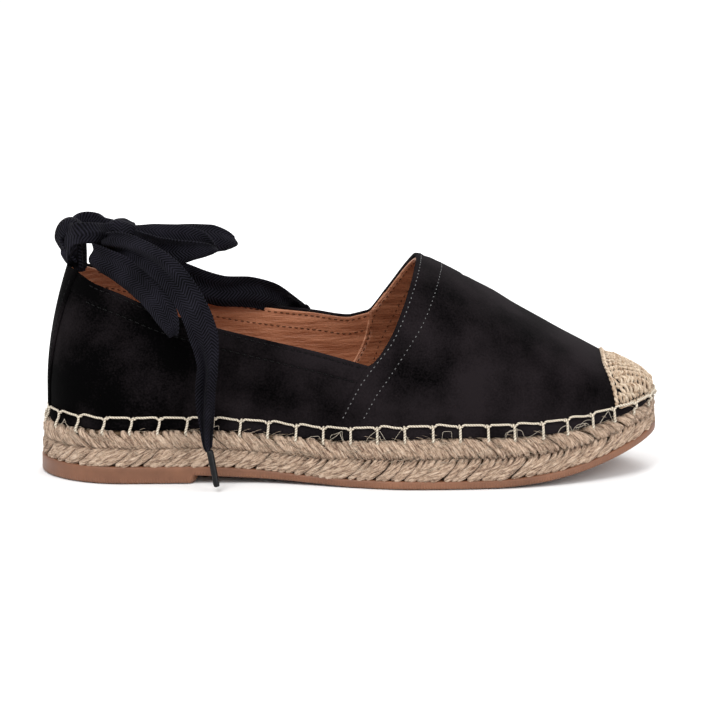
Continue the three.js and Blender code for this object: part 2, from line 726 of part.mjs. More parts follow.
// The knot is a barrel whose axis runs towards the toe
function makeKnot() {
  const length = KNOT_END - KNOT_START;
  const rows = [{ along: 0, radius: 0 }, ...KNOT_PROFILE, { along: 1, radius: 0 }];
  const profile = rows.map((row) => new THREE.Vector2(row.radius * KNOT_RADIUS, row.along * length));
  const barrel = new THREE.LatheGeometry(profile, KNOT_SIDES);
  barrel.rotateZ(-Math.PI / 2);
  barrel.translate(KNOT_START - SOLE_LENGTH / 2, 0, KNOT_HEIGHT);
  return solid(barrel);
}

// Named mesh of a solid, with its colour and finish
function piece(name, body, color, roughness, metalness = 0) {
  const mesh = body.getMesh();
  const geometry = new THREE.BufferGeometry();
  geometry.setAttribute("position", new THREE.Float32BufferAttribute(mesh.vertProperties, 3));
  geometry.setIndex(Array.from(mesh.triVerts));
  geometry.computeVertexNormals();
  const part = new THREE.Mesh(geometry, new THREE.MeshStandardMaterial({ color, roughness, metalness }));
  part.name = name;
  return part;
}

const SUEDE = 0x0b0b0c;
const TAPE = 0x131317;
const AGLET_SIDES = 8;
const STRAND_SIDES = 8;
const STRAND_HALF = { wide: 3.1, high: 1.5 };

const shoe = new THREE.Group();
shoe.add(
  piece("outsole", makeOutsole(), 0xa86a35, 0.55),
  piece("jute_midsole", makeJuteMidsole(), 0xc9ab7f, 0.9),
  piece("insole", makeInsole(), 0xb98763, 0.6),
  piece("upper", makeUpper(), SUEDE, 0.95),
  piece("toe_cap", makeToeCap(), 0xc8ab78, 0.9),
  piece("heel_stay", makeHeelStay(), 0x1b1614, 0.9),
  piece("pull_loop", makePullLoop(), SUEDE, 0.95),
);

const tie = new THREE.Group();
tie.add(
  piece("tie_strand", cord(STRAND, STRAND_HALF.wide, STRAND_HALF.high, STRAND_SIDES, 24), TAPE, 0.85),
  piece("tie_knot", makeKnot(), TAPE, 0.85),
  piece("bow_loop_outer", tape(LOOP_OUTER, TAPE_THICKNESS), TAPE, 0.85),
  piece("bow_loop_inner", tape(LOOP_INNER, TAPE_THICKNESS), TAPE, 0.85),
  piece("bow_loop_low", tape(LOOP_LOW, TAPE_THICKNESS * 2), TAPE, 0.85),
  piece("tail_outer", tape(TAIL_OUTER, TAPE_THICKNESS), TAPE, 0.85),
  piece("tail_inner", tape(TAIL_INNER, TAPE_THICKNESS), TAPE, 0.85),
  piece("aglet_outer", cord(AGLET_OUTER, AGLET_RADIUS, AGLET_RADIUS, AGLET_SIDES, 3), 0x0a0a0a, 0.3),
  piece("aglet_inner", cord(AGLET_INNER, AGLET_RADIUS, AGLET_RADIUS, AGLET_SIDES, 3), 0x0a0a0a, 0.3),
);
shoe.add(tie);

export default shoe;
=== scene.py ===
"""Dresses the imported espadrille: suede, lining, jute, rubber, toe weave and knotted tape.

Sizes are in millimetres from the heel's back, as in the part's own source, until a piece
is finished in metres.
"""

import logging
import math
import random
from bisect import bisect_left
from collections.abc import Callable, Iterable, Sequence
from dataclasses import dataclass, field
from enum import Enum
from functools import cache

import bmesh
import bpy
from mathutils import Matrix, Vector
from mathutils.noise import noise


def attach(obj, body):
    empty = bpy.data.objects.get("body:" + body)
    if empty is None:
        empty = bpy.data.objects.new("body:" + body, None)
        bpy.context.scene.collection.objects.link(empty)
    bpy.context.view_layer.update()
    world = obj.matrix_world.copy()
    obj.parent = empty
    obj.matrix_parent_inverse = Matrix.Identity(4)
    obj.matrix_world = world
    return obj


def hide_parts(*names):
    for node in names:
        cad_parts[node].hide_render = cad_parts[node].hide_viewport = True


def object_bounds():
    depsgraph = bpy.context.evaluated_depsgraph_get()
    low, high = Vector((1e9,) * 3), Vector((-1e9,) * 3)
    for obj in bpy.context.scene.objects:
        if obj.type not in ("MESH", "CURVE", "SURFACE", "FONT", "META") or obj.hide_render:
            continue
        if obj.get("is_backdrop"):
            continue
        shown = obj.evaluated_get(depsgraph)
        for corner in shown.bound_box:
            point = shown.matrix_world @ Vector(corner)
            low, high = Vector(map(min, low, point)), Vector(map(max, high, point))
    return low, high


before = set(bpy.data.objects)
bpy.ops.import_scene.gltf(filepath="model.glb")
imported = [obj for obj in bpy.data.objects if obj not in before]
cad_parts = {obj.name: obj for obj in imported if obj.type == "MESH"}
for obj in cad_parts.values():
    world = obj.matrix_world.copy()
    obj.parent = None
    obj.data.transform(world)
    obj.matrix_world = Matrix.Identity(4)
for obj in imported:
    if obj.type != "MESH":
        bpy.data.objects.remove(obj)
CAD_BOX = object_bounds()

MM = 0.001
QUARTER = math.pi / 2
TURN = 2 * math.pi
BODY = "root"
LOG = logging.getLogger("espadrille")

Place = Callable[[float, float], Vector]
Flat = Callable[[float, float], tuple[float, float]]
Radius = Callable[[float, float], float]
Level = tuple[float, float, Callable[[float], float]]
Triple = tuple[float, float, float]
Pair = tuple[Vector, Vector]
Number = "Maths | float"


def smooth(value: float, start: float, end: float) -> float:
    """Eased share of the way from start to end, held at both."""
    t = ramp(value, start, end)
    return t * t * (3 - 2 * t)


def ramp(value: float, start: float, end: float) -> float:
    """Plain share of the way from start to end, held at both."""
    return min(max((value - start) / (end - start), 0.0), 1.0)


def bump(value: float, middle: float, width: float) -> float:
    """Soft hill of height one round a middle."""
    return math.exp(-(((value - middle) / width) ** 2))


def lengths_of(points: Sequence[Vector]) -> list[float]:
    """Lengths along a line of points, from its start to each."""
    total, found = 0.0, [0.0]
    for a, b in zip(points, points[1:]):
        total += (b - a).length
        found.append(total)
    return found


def find(run: Sequence[float], want: float) -> tuple[int, float]:
    """Step of a rising list that holds a number, and the share of the way along it."""
    i = min(max(bisect_left(run, want) - 1, 0), len(run) - 2)
    return i, ramp(want, run[i], run[i + 1])


def narrow(
    low: float, high: float, past: Callable[[float], bool], rounds: int = 26
) -> tuple[float, float]:
    """Ends of the last span when a span is halved again and again.

    Args:
        low: End before the wanted place.
        high: End past it.
        past: Whether a place is past the wanted one.
        rounds: How often the span is halved.

    Returns:
        The two ends.
    """
    for _ in range(rounds):
        middle = (low + high) / 2
        if past(middle):
            high = middle
        else:
            low = middle
    return low, high


def blunt(radius: float) -> Radius:
    """Even radius that closes at both ends of a tube."""
    return lambda v, _: 0.0 if v in (0, 1) else radius


def put(name: str, data: bpy.types.ID) -> bpy.types.Object:
    """Add an object to the scene."""
    obj = bpy.data.objects.new(name, data)
    bpy.context.scene.collection.objects.link(obj)
    return obj


class Side(Enum):
    """The two sides of the foot."""

    LATERAL = 1
    MEDIAL = 2


def halves(v: float) -> tuple[Side, float]:
    """Side of the foot and share of the way up to the ridge, for a share across both."""
    return (Side.LATERAL if v < 0.5 else Side.MEDIAL), 1 - abs(2 * v - 1)


class Table:
    """Rows of numbers by place, eased from row to row."""

    def __init__(self, *rows: tuple[float, ...]) -> None:
        """Keep the rows, whose first number is the place."""
        self.rows = rows

    @cache
    def ease(self, place: float, column: int = 1) -> float:
        """Value of a column at a place.

        Args:
            place: Share of the length from the heel.
            column: Which number of the rows.

        Returns:
            The eased value.
        """
        rows, last = self.rows, len(self.rows) - 1
        i = 0
        while i < last - 1 and place > rows[i + 1][0]:
            i += 1

        def slope(k: int) -> float:
            """Slope of the column at a row."""
            a, b = rows[max(k - 1, 0)], rows[min(k + 1, last)]
            return (b[column] - a[column]) / (b[0] - a[0])

        span = rows[i + 1][0] - rows[i][0]
        t = (place - rows[i][0]) / span
        h = t * t * (3 - 2 * t)
        start = t * (1 - t) * (1 - t) * span * slope(i)
        end = t * t * (t - 1) * span * slope(i + 1)
        return rows[i][column] * (1 - h) + rows[i + 1][column] * h + start + end

    def line(self, place: float, column: int = 1) -> float:
        """Value of a column at a place, straight from row to row."""
        rows = self.rows
        for a, b in zip(rows, rows[1:]):
            if place <= b[0]:
                break
        t = (place - a[0]) / (b[0] - a[0])
        return a[column] + (b[column] - a[column]) * t


# Outer and inner half width, as shares of the ball's, and share of the swing
PLAN = Table(
    (0.0, 0.7, 0.7, 0),
    (0.13, 0.725, 0.71, 0),
    (0.25, 0.705, 0.665, 0),
    (0.36, 0.69, 0.635, 0),
    (0.43, 0.765, 0.66, 0),
    (0.5, 0.875, 0.735, 0.02),
    (0.58, 0.98, 0.85, 0.08),
    (0.66, 1.0, 0.945, 0.2),
    (0.72, 0.995, 0.985, 0.32),
    (0.78, 0.98, 0.975, 0.45),
    (0.86, 0.93, 0.91, 0.65),
    (0.92, 0.87, 0.84, 0.82),
    (1.0, 0.78, 0.76, 1),
)
# Thickness of the jute, as a share of the heel's
JUTE = Table(
    (0.0, 1.0), (0.25, 0.98), (0.36, 0.98), (0.46, 1.02), (0.58, 1.15),
    (0.68, 1.19), (0.78, 1.13), (0.86, 1.0), (0.93, 0.86), (1.0, 0.68),
)
# Ridge height, fullness, inward shift of the ridge and height of the roll
SECTIONS = Table(
    (0.0, 1.2, 0.9, 0, 1),
    (0.2, 1.19, 0.9, 0, 1),
    (0.4, 1.14, 0.9, 0.3, 1),
    (0.52, 1.06, 0.93, 0.6, 1),
    (0.62, 0.968, 0.95, 0.9, 1),
    (0.7, 0.853, 0.92, 1, 1),
    (0.76, 0.756, 0.88, 1, 1),
    (0.82, 0.655, 0.84, 1, 1),
    (0.88, 0.562, 0.8, 1, 0.95),
    (0.93, 0.487, 0.76, 0.9, 0.85),
    (0.965, 0.442, 0.74, 0.6, 0.7),
    (0.985, 0.412, 0.74, 0.3, 0.6),
    (1.0, 0.378, 0.74, 0, 0.5),
)
# Height of the topline on the outer and the inner side, as shares of the instep
OPENING = Table(
    (-0.06, 0.945, 0.945),
    (0.05, 0.94, 0.94),
    (0.09, 0.893, 0.897),
    (0.135, 0.852, 0.862),
    (0.2, 0.775, 0.8),
    (0.29, 0.7, 0.745),
    (0.37, 0.645, 0.716),
    (0.44, 0.607, 0.692),
    (0.5, 0.57, 0.66),
    (0.533, 0.548, 0.68),
    (0.55, 0.602, 0.745),
    (0.57, 0.7, 0.832),
    (0.585, 0.8, 0.9),
    (0.6, 0.905, 0.965),
    (0.615, 1.03, 1.03),
    (0.66, 1.5, 1.5),
)


@dataclass(frozen=True, eq=False)
class Last:
    """The shoe's own form: its outline, its layers' heights and the upper's surface."""

    length: float = 250.0
    half_ball: float = 45.0
    swing: float = 9.0
    heel_round: float = 33.0
    toe_round: float = 72.0
    fullness: float = 2.4
    toe_spring: float = 15.0
    spring_length: float = 75.0
    instep: float = 89.0
    ridge_offset: float = 3.0
    heel_rubber: float = 6.8
    fore_rubber: float = 3.2
    block: float = 61.0
    step: float = 3.2
    step_run: float = 1.2
    arch_end: float = 125.0
    gap: float = 0.3
    jute: float = 14.2
    feather: float = 3.4
    roll: float = 4.6
    lean: float = 8.5
    lean_low: float = 36.0
    lean_high: float = 84.0
    lean_end: float = 83.0
    collar_half: float = 28.0
    notch: float = 6.45
    notch_height: float = 0.548
    seam_slant: float = 0.52
    ring_steps: int = 600
    side_shift: float = field(init=False)
    ring: dict[Side, list[float]] = field(init=False)

    def __post_init__(self) -> None:
        """Centre the outline on the X axis and measure its sides."""
        sides = [self.raw(k / 400, 0.0) for k in range(401)]
        shift = -(min(s[2] for s in sides) + max(s[3] for s in sides)) / 2
        object.__setattr__(self, "side_shift", shift)
        places = [self.share(k / self.ring_steps) for k in range(self.ring_steps + 1)]
        ring = {
            side: lengths_of([self.edge(at, side, -self.feather) for at in places])
            for side in Side
        }
        object.__setattr__(self, "ring", ring)

    @staticmethod
    def share(t: float) -> float:
        """Place along the shoe, closer together round heel and toe, for t from 0 to 1."""
        return (1 - math.cos(math.pi * t)) / 2

    @staticmethod
    def unshare(at: float) -> float:
        """The t whose place is the given one."""
        return math.acos(max(-1.0, min(1.0, 1 - 2 * at))) / math.pi

    def raw(self, at: float, grow: float) -> tuple[float, float, float, float]:
        """Outline before it is centred: x, centre, outer and inner side."""
        length = self.length + 2 * grow
        heel = 1 - ramp(at * length, 0, self.heel_round + grow)
        toe = 1 - ramp((1 - at) * length, 0, self.toe_round + grow)
        cap = math.sqrt(max(1 - heel * heel, 0))
        cap *= max(1 - toe**self.fullness, 0) ** (1 / self.fullness)
        centre = self.swing * PLAN.ease(at, 3)
        outer = (PLAN.ease(at, 1) * self.half_ball + grow) * cap
        inner = (PLAN.ease(at, 2) * self.half_ball + grow) * cap
        return at * length - grow, centre, centre - outer, centre + inner

    @cache
    def plan(self, at: float, grow: float) -> tuple[float, float, float, float]:
        """Outline of the sole grown by a distance, in the shared frame."""
        x, centre, outer, inner = self.raw(at, grow)
        shift = self.side_shift
        return x - self.length / 2, centre + shift, outer + shift, inner + shift

    def edge(
        self, at: float, side: Side, grow: float, z: float = 0.0, width: float = 1.0
    ) -> Vector:
        """Point of the outline at a height, drawn in towards the middle by a share."""
        x, centre, outer, inner = self.plan(at, grow)
        y = outer if side is Side.LATERAL else inner
        return Vector((x, centre + (y - centre) * width, z))

    def spring(self, at: float) -> float:
        """Rise of the toe."""
        rise = 1 - ramp((1 - at) * self.length, 0, self.spring_length)
        return self.toe_spring * rise**2.3

    def underside(self, at: float) -> float:
        """Height of the rubber's underside."""
        x = at * self.length
        step = ramp(x, self.block, self.block + self.step_run)
        arch = 1 - ramp(x, self.block + self.step_run, self.arch_end)
        return self.step * step * arch + self.spring(at)

    def rubber_top(self, at: float) -> float:
        """Height of the rubber's top."""
        fall = smooth(at * self.length, self.block, self.arch_end)
        return self.heel_rubber + (self.fore_rubber - self.heel_rubber) * fall + self.spring(at)

    def jute_top(self, at: float) -> float:
        """Height of the jute's top."""
        return self.rubber_top(at) + self.gap + self.jute * JUTE.ease(at)

    @cache
    def seat(self, at: float) -> float:
        """Height that the upper stands on."""
        return self.jute_top(at) + self.gap

    def place(self, at: float, side: Side, z: float, share: float, grow: float) -> Vector:
        """Point of the upper at a height and a share of the way out from the ridge."""
        x, centre, outer, inner = self.plan(at, grow - self.feather)
        reach = (outer if side is Side.LATERAL else inner) - centre
        inward = self.ridge_offset * SECTIONS.ease(at, 3)
        lean = self.lean * ramp(z, self.lean_low, self.lean_high) ** 1.8
        lean *= 1 - ramp(at * self.length, 0, self.lean_end)
        return Vector((x + lean, centre + inward * (1 - share) + reach * share, z))

    def foot(self, at: float) -> float:
        """Height of the roll's top, where the section's arch begins."""
        return self.seat(at) + self.roll * SECTIONS.ease(at, 4)

    def ridge(self, at: float, grow: float) -> float:
        """Height of the ridge."""
        return self.instep * SECTIONS.ease(at, 1) + grow

    def arch(self, at: float, side: Side, turn: float, grow: float = 0.0) -> Vector:
        """Point of the upper's section at a turn from its foot, 0, to its ridge, a quarter."""
        full = SECTIONS.ease(at, 2)
        low = self.foot(at)
        z = low + (self.ridge(at, grow) - low) * math.sin(turn) ** full
        return self.place(at, side, z, max(math.cos(turn), 0.0) ** full, grow)

    def turn_of(self, at: float, z: float, grow: float = 0.0) -> float:
        """Turn of the section at a height."""
        low = self.foot(at)
        rise = ramp(z, low, self.ridge(at, grow))
        return math.asin(rise ** (1 / SECTIONS.ease(at, 2)))

    def opening(self, point: Vector) -> float:
        """Height of the opening's edge over a point."""
        at = point.x / self.length + 0.5
        read = OPENING.ease if at < 0.5 else OPENING.line
        t = ramp(point.y, -self.collar_half, self.collar_half)
        return self.instep * (read(at, 1) * (1 - t) + read(at, 2) * t)

    @cache
    def collar_turn(self, at: float, side: Side, grow: float = 0.0) -> float:
        """Turn at which the section meets the opening, or the ridge's."""

        def past(turn: float) -> bool:
            """Whether the section is above the opening there."""
            point = self.arch(at, side, turn, grow)
            return point.z > self.opening(point)

        return sum(narrow(0.0, QUARTER, past)) / 2

    @cache
    def vamp_start(self, side: Side, turn: float, grow: float = 0.0) -> float:
        """Place where the vamp begins at a turn: its slanted seam or the throat's edge."""
        height = self.notch_height * self.instep

        def past(at: float) -> bool:
            """Whether the vamp is there."""
            point = self.arch(at, side, turn, grow)
            seam = self.notch - self.seam_slant * max(height - point.z, 0.0)
            return point.x >= seam and point.z <= self.opening(point)

        return sum(narrow(0.42, 0.7, past)) / 2

    def normal(self, at: float, side: Side, turn: float, grow: float = 0.0) -> Vector:
        """Outward direction of the upper's surface."""
        e = 0.004
        here, there = max(at - e, 0.001), min(at + e, 0.999)
        along = self.arch(there, side, turn, grow) - self.arch(here, side, turn, grow)
        low, high = max(turn - e, 0.001), min(turn + e, QUARTER)
        up = self.arch(at, side, high, grow) - self.arch(at, side, low, grow)
        out = along.cross(up).normalized()
        point = self.arch(at, side, turn, grow)
        core = Vector((min(max(point.x, -90), 80), 0, 25))
        return out if out.dot(point - core) > 0 else -out

    def arc(self, at: float, side: Side) -> float:
        """Length of the upper's foot line from the heel's back to a place."""
        place = self.unshare(at) * self.ring_steps
        i = min(int(place), self.ring_steps - 1)
        marks = self.ring[side]
        return marks[i] + (marks[i + 1] - marks[i]) * (place - i)

    def girth(self) -> float:
        """Length of the foot line all the way round."""
        return self.ring[Side.LATERAL][-1] + self.ring[Side.MEDIAL][-1]

    def round(self, arc: float) -> tuple[float, Side]:
        """Place and side at a length along the foot line: outer side, toe, inner side."""
        whole = self.girth()
        arc %= whole
        side = Side.LATERAL
        if arc > self.ring[side][-1]:
            side, arc = Side.MEDIAL, whole - arc
        return self.share(sum(find(self.ring[side], arc)) / self.ring_steps), side


LAST = Last()


def curve_points(rows: Sequence[Vector], steps: int) -> list[Vector]:
    """Even steps along a centripetal curve through points.

    Args:
        rows: The points.
        steps: Steps from each point to the next.

    Returns:
        The curve's points, both ends included.
    """
    ends = [rows[0] * 2 - rows[1], *rows, rows[-1] * 2 - rows[-2]]
    found = []
    for i in range(1, len(ends) - 2):
        p0, p1, p2, p3 = ends[i - 1 : i + 3]
        d0, d1, d2 = (max((b - a).length ** 0.5, 1e-4) for a, b in ((p0, p1), (p1, p2), (p2, p3)))
        t1 = ((p1 - p0) / d0 - (p2 - p0) / (d0 + d1) + (p2 - p1) / d1) * d1
        t2 = ((p2 - p1) / d1 - (p3 - p1) / (d1 + d2) + (p3 - p2) / d2) * d1
        for k in range(steps):
            t = k / steps
            h = t * t * (3 - 2 * t)
            found.append(p1 * (1 - h) + p2 * h + t1 * (t * (1 - t) ** 2) + t2 * (t * t * (t - 1)))
    return [*found, rows[-1].copy()]


def frames_of(points: Sequence[Vector], ups: Sequence[Vector] | None) -> list[Pair]:
    """Directions across a line of points.

    Args:
        points: The line.
        ups: Wanted second direction at each point, or None to carry one along.

    Returns:
        For each point, the direction across and the one out from it.
    """
    found = []
    last = len(points) - 1
    carried = Vector((0.31, 0.52, 0.79))
    for i in range(last + 1):
        along = (points[min(i + 1, last)] - points[max(i - 1, 0)]).normalized()
        up = carried if ups is None else ups[i]
        out = up - along * up.dot(along)
        if out.length < 1e-6:
            out = along.orthogonal()
        out.normalize()
        carried = out
        found.append((along.cross(out), out))
    return found


class Piece:
    """One mesh piece in the making, in millimetres."""

    def __init__(self, name: str) -> None:
        """Start an empty mesh with a flat map."""
        self.name = name
        self.bm = bmesh.new()
        self.unclosed = False
        self.turned = False
        self.map = self.bm.loops.layers.uv.new("flat")

    def grid(self, columns: int, rows: int, place: Place, flat: Flat | None = None) -> list:
        """Add a grid moved to its place.

        Args:
            columns: Faces across.
            rows: Faces along.
            place: Point for shares across and along.
            flat: Flat map's coordinates for the same shares, or None for the shares.

        Returns:
            The grid's vertices.
        """
        made = bmesh.ops.create_grid(self.bm, x_segments=columns, y_segments=rows, size=0.5)
        shares = {vert: (vert.co.x + 0.5, vert.co.y + 0.5) for vert in made["verts"]}
        for face in {face for vert in made["verts"] for face in vert.link_faces}:
            for loop in face.loops:
                share = shares[loop.vert]
                loop[self.map].uv = flat(*share) if flat else share
        for vert, share in shares.items():
            vert.co = place(*share)
        return made["verts"]

    def tube(
        self,
        path: Sequence[Vector],
        radius: Radius,
        sides: int = 6,
        flatness: float = 1.0,
        ups: Sequence[Vector] | None = None,
        mark: float = 0.0,
    ) -> None:
        """Add a tube along a path, closed where its radius is nothing.

        Args:
            path: The centre line.
            radius: Radius by share along and turn round.
            sides: Faces round.
            flatness: Thickness as a share of width.
            ups: Direction of the thickness at each point.
            mark: Offset of the flat map, which tells tubes apart.
        """
        frames = frames_of(path, ups)
        run = lengths_of(path)
        last = len(path) - 1

        def place(u: float, v: float) -> Vector:
            """Point of the tube."""
            i = round(v * last)
            across, out = frames[i]
            turn = TURN * u
            r = radius(i / last, turn)
            return path[i] + across * (math.cos(turn) * r) + out * (math.sin(turn) * r * flatness)

        def flat(u: float, v: float) -> tuple[float, float]:
            """Share round and length along."""
            return u + mark, run[round(v * last)] * 0.1

        self.grid(sides, last, place, flat)
        self.unclosed = True

    def sculpt(self, lift: Callable[[Vector], float]) -> None:
        """Move every vertex along its normal by a height read at its place."""
        self.bm.normal_update()
        moves = [(vert, vert.normal * lift(vert.co)) for vert in self.bm.verts]
        for vert, move in moves:
            vert.co += move

    def merge(self, dist: float = 1e-3) -> None:
        """Close seams and poles."""
        bmesh.ops.remove_doubles(self.bm, verts=self.bm.verts[:], dist=dist)

    def face_out(self, core: Callable[[Vector], Vector] | None = None) -> None:
        """Turn the faces outwards.

        Args:
            core: For an open skin, a point inside it for each point of it; a closed
                shape needs none.
        """
        self.turned = True
        if self.unclosed:
            self.merge(1e-4)
        bmesh.ops.recalc_face_normals(self.bm, faces=self.bm.faces[:])
        if core is None:
            return
        total = 0.0
        for face in self.bm.faces:
            middle = face.calc_center_median()
            total += face.calc_area() * face.normal.dot(middle - core(middle))
        if total < 0:
            bmesh.ops.reverse_faces(self.bm, faces=self.bm.faces[:])

    def finish(
        self,
        material: bpy.types.Material,
        slot: str,
        replaces: Iterable[str] = (),
        wall: float = 0.0,
        both: bool = False,
        levels: int = 0,
    ) -> bpy.types.Object:
        """Make the piece's object, in metres, with its faces outwards.

        Args:
            material: Its finish.
            slot: The record's slot.
            replaces: CAD nodes that it stands for.
            wall: Thickness given to an open skin, inwards.
            both: Whether the wall lies to both sides of the skin.
            levels: Subdivision levels.

        Returns:
            The object.
        """
        if not self.turned:
            self.face_out()
        bmesh.ops.scale(self.bm, vec=(MM, MM, MM), verts=self.bm.verts[:])
        mesh = bpy.data.meshes.new(self.name)
        self.bm.to_mesh(mesh)
        self.bm.free()
        mesh.shade_smooth()
        mesh.materials.append(material)
        obj = put(self.name, mesh)
        if wall:
            solid = obj.modifiers.new("wall", "SOLIDIFY")
            solid.thickness = wall * MM
            solid.offset = 0 if both else -1
        if levels:
            soft = obj.modifiers.new("soft", "SUBSURF")
            soft.levels = soft.render_levels = levels
        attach(obj, BODY)
        if replaces:
            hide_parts(*replaces)
        LOG.info("%s: %d faces", self.name, len(mesh.polygons))
        return obj


class Maths:
    """A number socket that can be reckoned with."""

    def __init__(self, recipe: "Recipe", socket: bpy.types.NodeSocket) -> None:
        """Wrap a socket."""
        self.recipe = recipe
        self.socket = socket

    def _with(self, operation: str, *values: Number) -> "Maths":
        """Result of a Math node."""
        inputs = {i: value for i, value in enumerate(values)}
        return self.recipe.node("ShaderNodeMath", {"operation": operation}, inputs)

    def __add__(self, other: Number) -> "Maths":
        """Sum."""
        return self._with("ADD", self, other)

    __radd__ = __add__

    def __sub__(self, other: Number) -> "Maths":
        """Difference."""
        return self._with("SUBTRACT", self, other)

    def __rsub__(self, other: Number) -> "Maths":
        """Difference from a number."""
        return self._with("SUBTRACT", other, self)

    def __mul__(self, other: Number) -> "Maths":
        """Product."""
        return self._with("MULTIPLY", self, other)

    __rmul__ = __mul__

    def sine(self) -> "Maths":
        """Sine."""
        return self._with("SINE", self)

    def fold(self, size: float) -> "Maths":
        """Back and forth between nothing and a size."""
        return self._with("PINGPONG", self, size)

    def held(self) -> "Maths":
        """Held between nothing and one."""
        return self._with("MINIMUM", self._with("MAXIMUM", self, 0.0), 1.0)


class Recipe:
    """One material in the making."""

    def __init__(self, name: str, roughness: float, **constants: float | tuple) -> None:
        """Start with a Principled shader.

        Args:
            name: Name of the finish.
            roughness: Roughness all over.
            constants: Other sockets of the shader, with _ for a space.
        """
        self.material = bpy.data.materials.new(name)
        self.material.use_nodes = True
        self.tree = self.material.node_tree
        self.tree.nodes.clear()
        self.shader = self.tree.nodes.new("ShaderNodeBsdfPrincipled")
        sink = self.tree.nodes.new("ShaderNodeOutputMaterial")
        self.tree.links.new(self.shader.outputs[0], sink.inputs["Surface"])
        self.shader.inputs["Roughness"].default_value = roughness
        for key, value in constants.items():
            self.shader.inputs[key.replace("_", " ")].default_value = value

    def node(
        self, kind: str, settings: dict | None = None, values: dict | None = None,
        output: int | str = 0,
    ) -> Maths:
        """Add any node.

        Args:
            kind: The node's type.
            settings: Its settings, and a ramp's stops.
            values: Numbers or links of its sockets.
            output: Which output.

        Returns:
            The output.
        """
        made = self.tree.nodes.new(kind)
        for key, value in (settings or {}).items():
            if key == "stops":
                ends = made.color_ramp.elements
                while len(ends) < len(value):
                    ends.new(0.5)
                for stop, (place, colour) in zip(ends, value):
                    stop.position, stop.color = place, (*colour, 1)
            else:
                setattr(made, key, value)
        for key, value in (values or {}).items():
            if isinstance(value, Maths):
                self.tree.links.new(value.socket, made.inputs[key])
            else:
                made.inputs[key].default_value = value
        return Maths(self, made.outputs[output])

    def object_place(self) -> Maths:
        """Object coordinates."""
        return self.node("ShaderNodeTexCoord", output="Object")

    def flat_map(self) -> Maths:
        """The piece's own flat map."""
        return self.node("ShaderNodeUVMap", {"uv_map": "flat"})

    def stretched(self, vector: Maths, scale: Triple) -> Maths:
        """A vector scaled along its axes."""
        return self.node("ShaderNodeMapping", values={"Vector": vector, "Scale": scale})

    def parts(self, vector: Maths) -> tuple[Maths, Maths]:
        """First and second part of a vector."""
        split = self.node("ShaderNodeSeparateXYZ", values={"Vector": vector})
        outputs = split.socket.node.outputs
        return Maths(self, outputs[0]), Maths(self, outputs[1])

    def cloud(
        self, vector: Maths, scale: float, detail: float = 3.0, roughness: float = 0.5
    ) -> Maths:
        """Noise between nothing and one."""
        values = {"Vector": vector, "Scale": scale, "Detail": detail, "Roughness": roughness}
        return self.node("ShaderNodeTexNoise", values=values)

    def colours(self, amount: Maths, *stops: tuple[float, Triple]) -> Maths:
        """Colour read off a ramp."""
        return self.node("ShaderNodeValToRGB", {"stops": stops}, {0: amount})

    def paint(
        self, colour: Maths, height: Maths | None = None, depth: float = 0.001,
        strength: float = 0.5, rough: Maths | None = None,
    ) -> bpy.types.Material:
        """Link the varying parts to the shader.

        Args:
            colour: Base colour.
            height: Relief for the bump.
            depth: Distance of the bump in metres.
            strength: Strength of the bump.
            rough: Varying roughness.

        Returns:
            The finished material.
        """
        self.tree.links.new(colour.socket, self.shader.inputs["Base Color"])
        if height is not None:
            values = {"Height": height, "Distance": depth, "Strength": strength}
            relief = self.node("ShaderNodeBump", values=values)
            self.tree.links.new(relief.socket, self.shader.inputs["Normal"])
        if rough is not None:
            self.tree.links.new(rough.socket, self.shader.inputs["Roughness"])
        return self.material


@dataclass(frozen=True)
class Suede:
    """Brushed black suede with soft mottling, and painted light that lightens it towards the toe.
    """

    name: str = "black_suede"
    dark: Triple = (0.0004, 0.0003, 0.0004)
    pale: Triple = (0.0118, 0.0092, 0.0104)

    def make(self) -> bpy.types.Material:
        """Nap in fine bump over broad brushed patches, with painted light that grows towards the
        toe.
        """
        r = Recipe(
            self.name, 0.95, Sheen_Weight=0.006, Sheen_Roughness=0.4, Specular_IOR_Level=0.03
        )
        here = r.object_place()
        forward, _ = r.parts(here)
        patches = r.cloud(here, 36, 3, 0.5)
        nap = r.cloud(here, 1300, 3, 0.7)
        # forward lightens the suede towards the toe: painted light on the vamp, painted shade on
        # the quarters
        mixed = patches * 0.75 + nap * 0.35 + forward * 0.75
        colour = r.colours(mixed, (0.42, self.dark), (0.67, self.pale))
        return r.paint(colour, nap + patches * 1.5, 0.0003, 0.35)


@dataclass(frozen=True)
class Lining:
    """Smooth tan leather with fine creases."""

    name: str = "tan_lining"
    dark: Triple = (0.25, 0.085, 0.038)
    pale: Triple = (0.54, 0.235, 0.125)

    def make(self) -> bpy.types.Material:
        """Creases along the shoe over a warm tan, darker in their troughs as painted shade."""
        r = Recipe(self.name, 0.5, Specular_IOR_Level=0.4)
        here = r.object_place()
        folds = r.cloud(r.stretched(here, (45, 45, 330)), 1.0, 5, 0.62)
        grain = r.cloud(here, 1100, 3)
        # Colour follows the creases' relief, darker in the troughs: painted shade, mixed with
        # random blotches of tone
        shade = folds * 0.6 + r.cloud(here, 26, 3) * 0.4
        colour = r.colours(shade, (0.34, self.dark), (0.66, self.pale))
        return r.paint(colour, folds + grain * 0.15, 0.0016, 0.8, folds * 0.3 + 0.26)


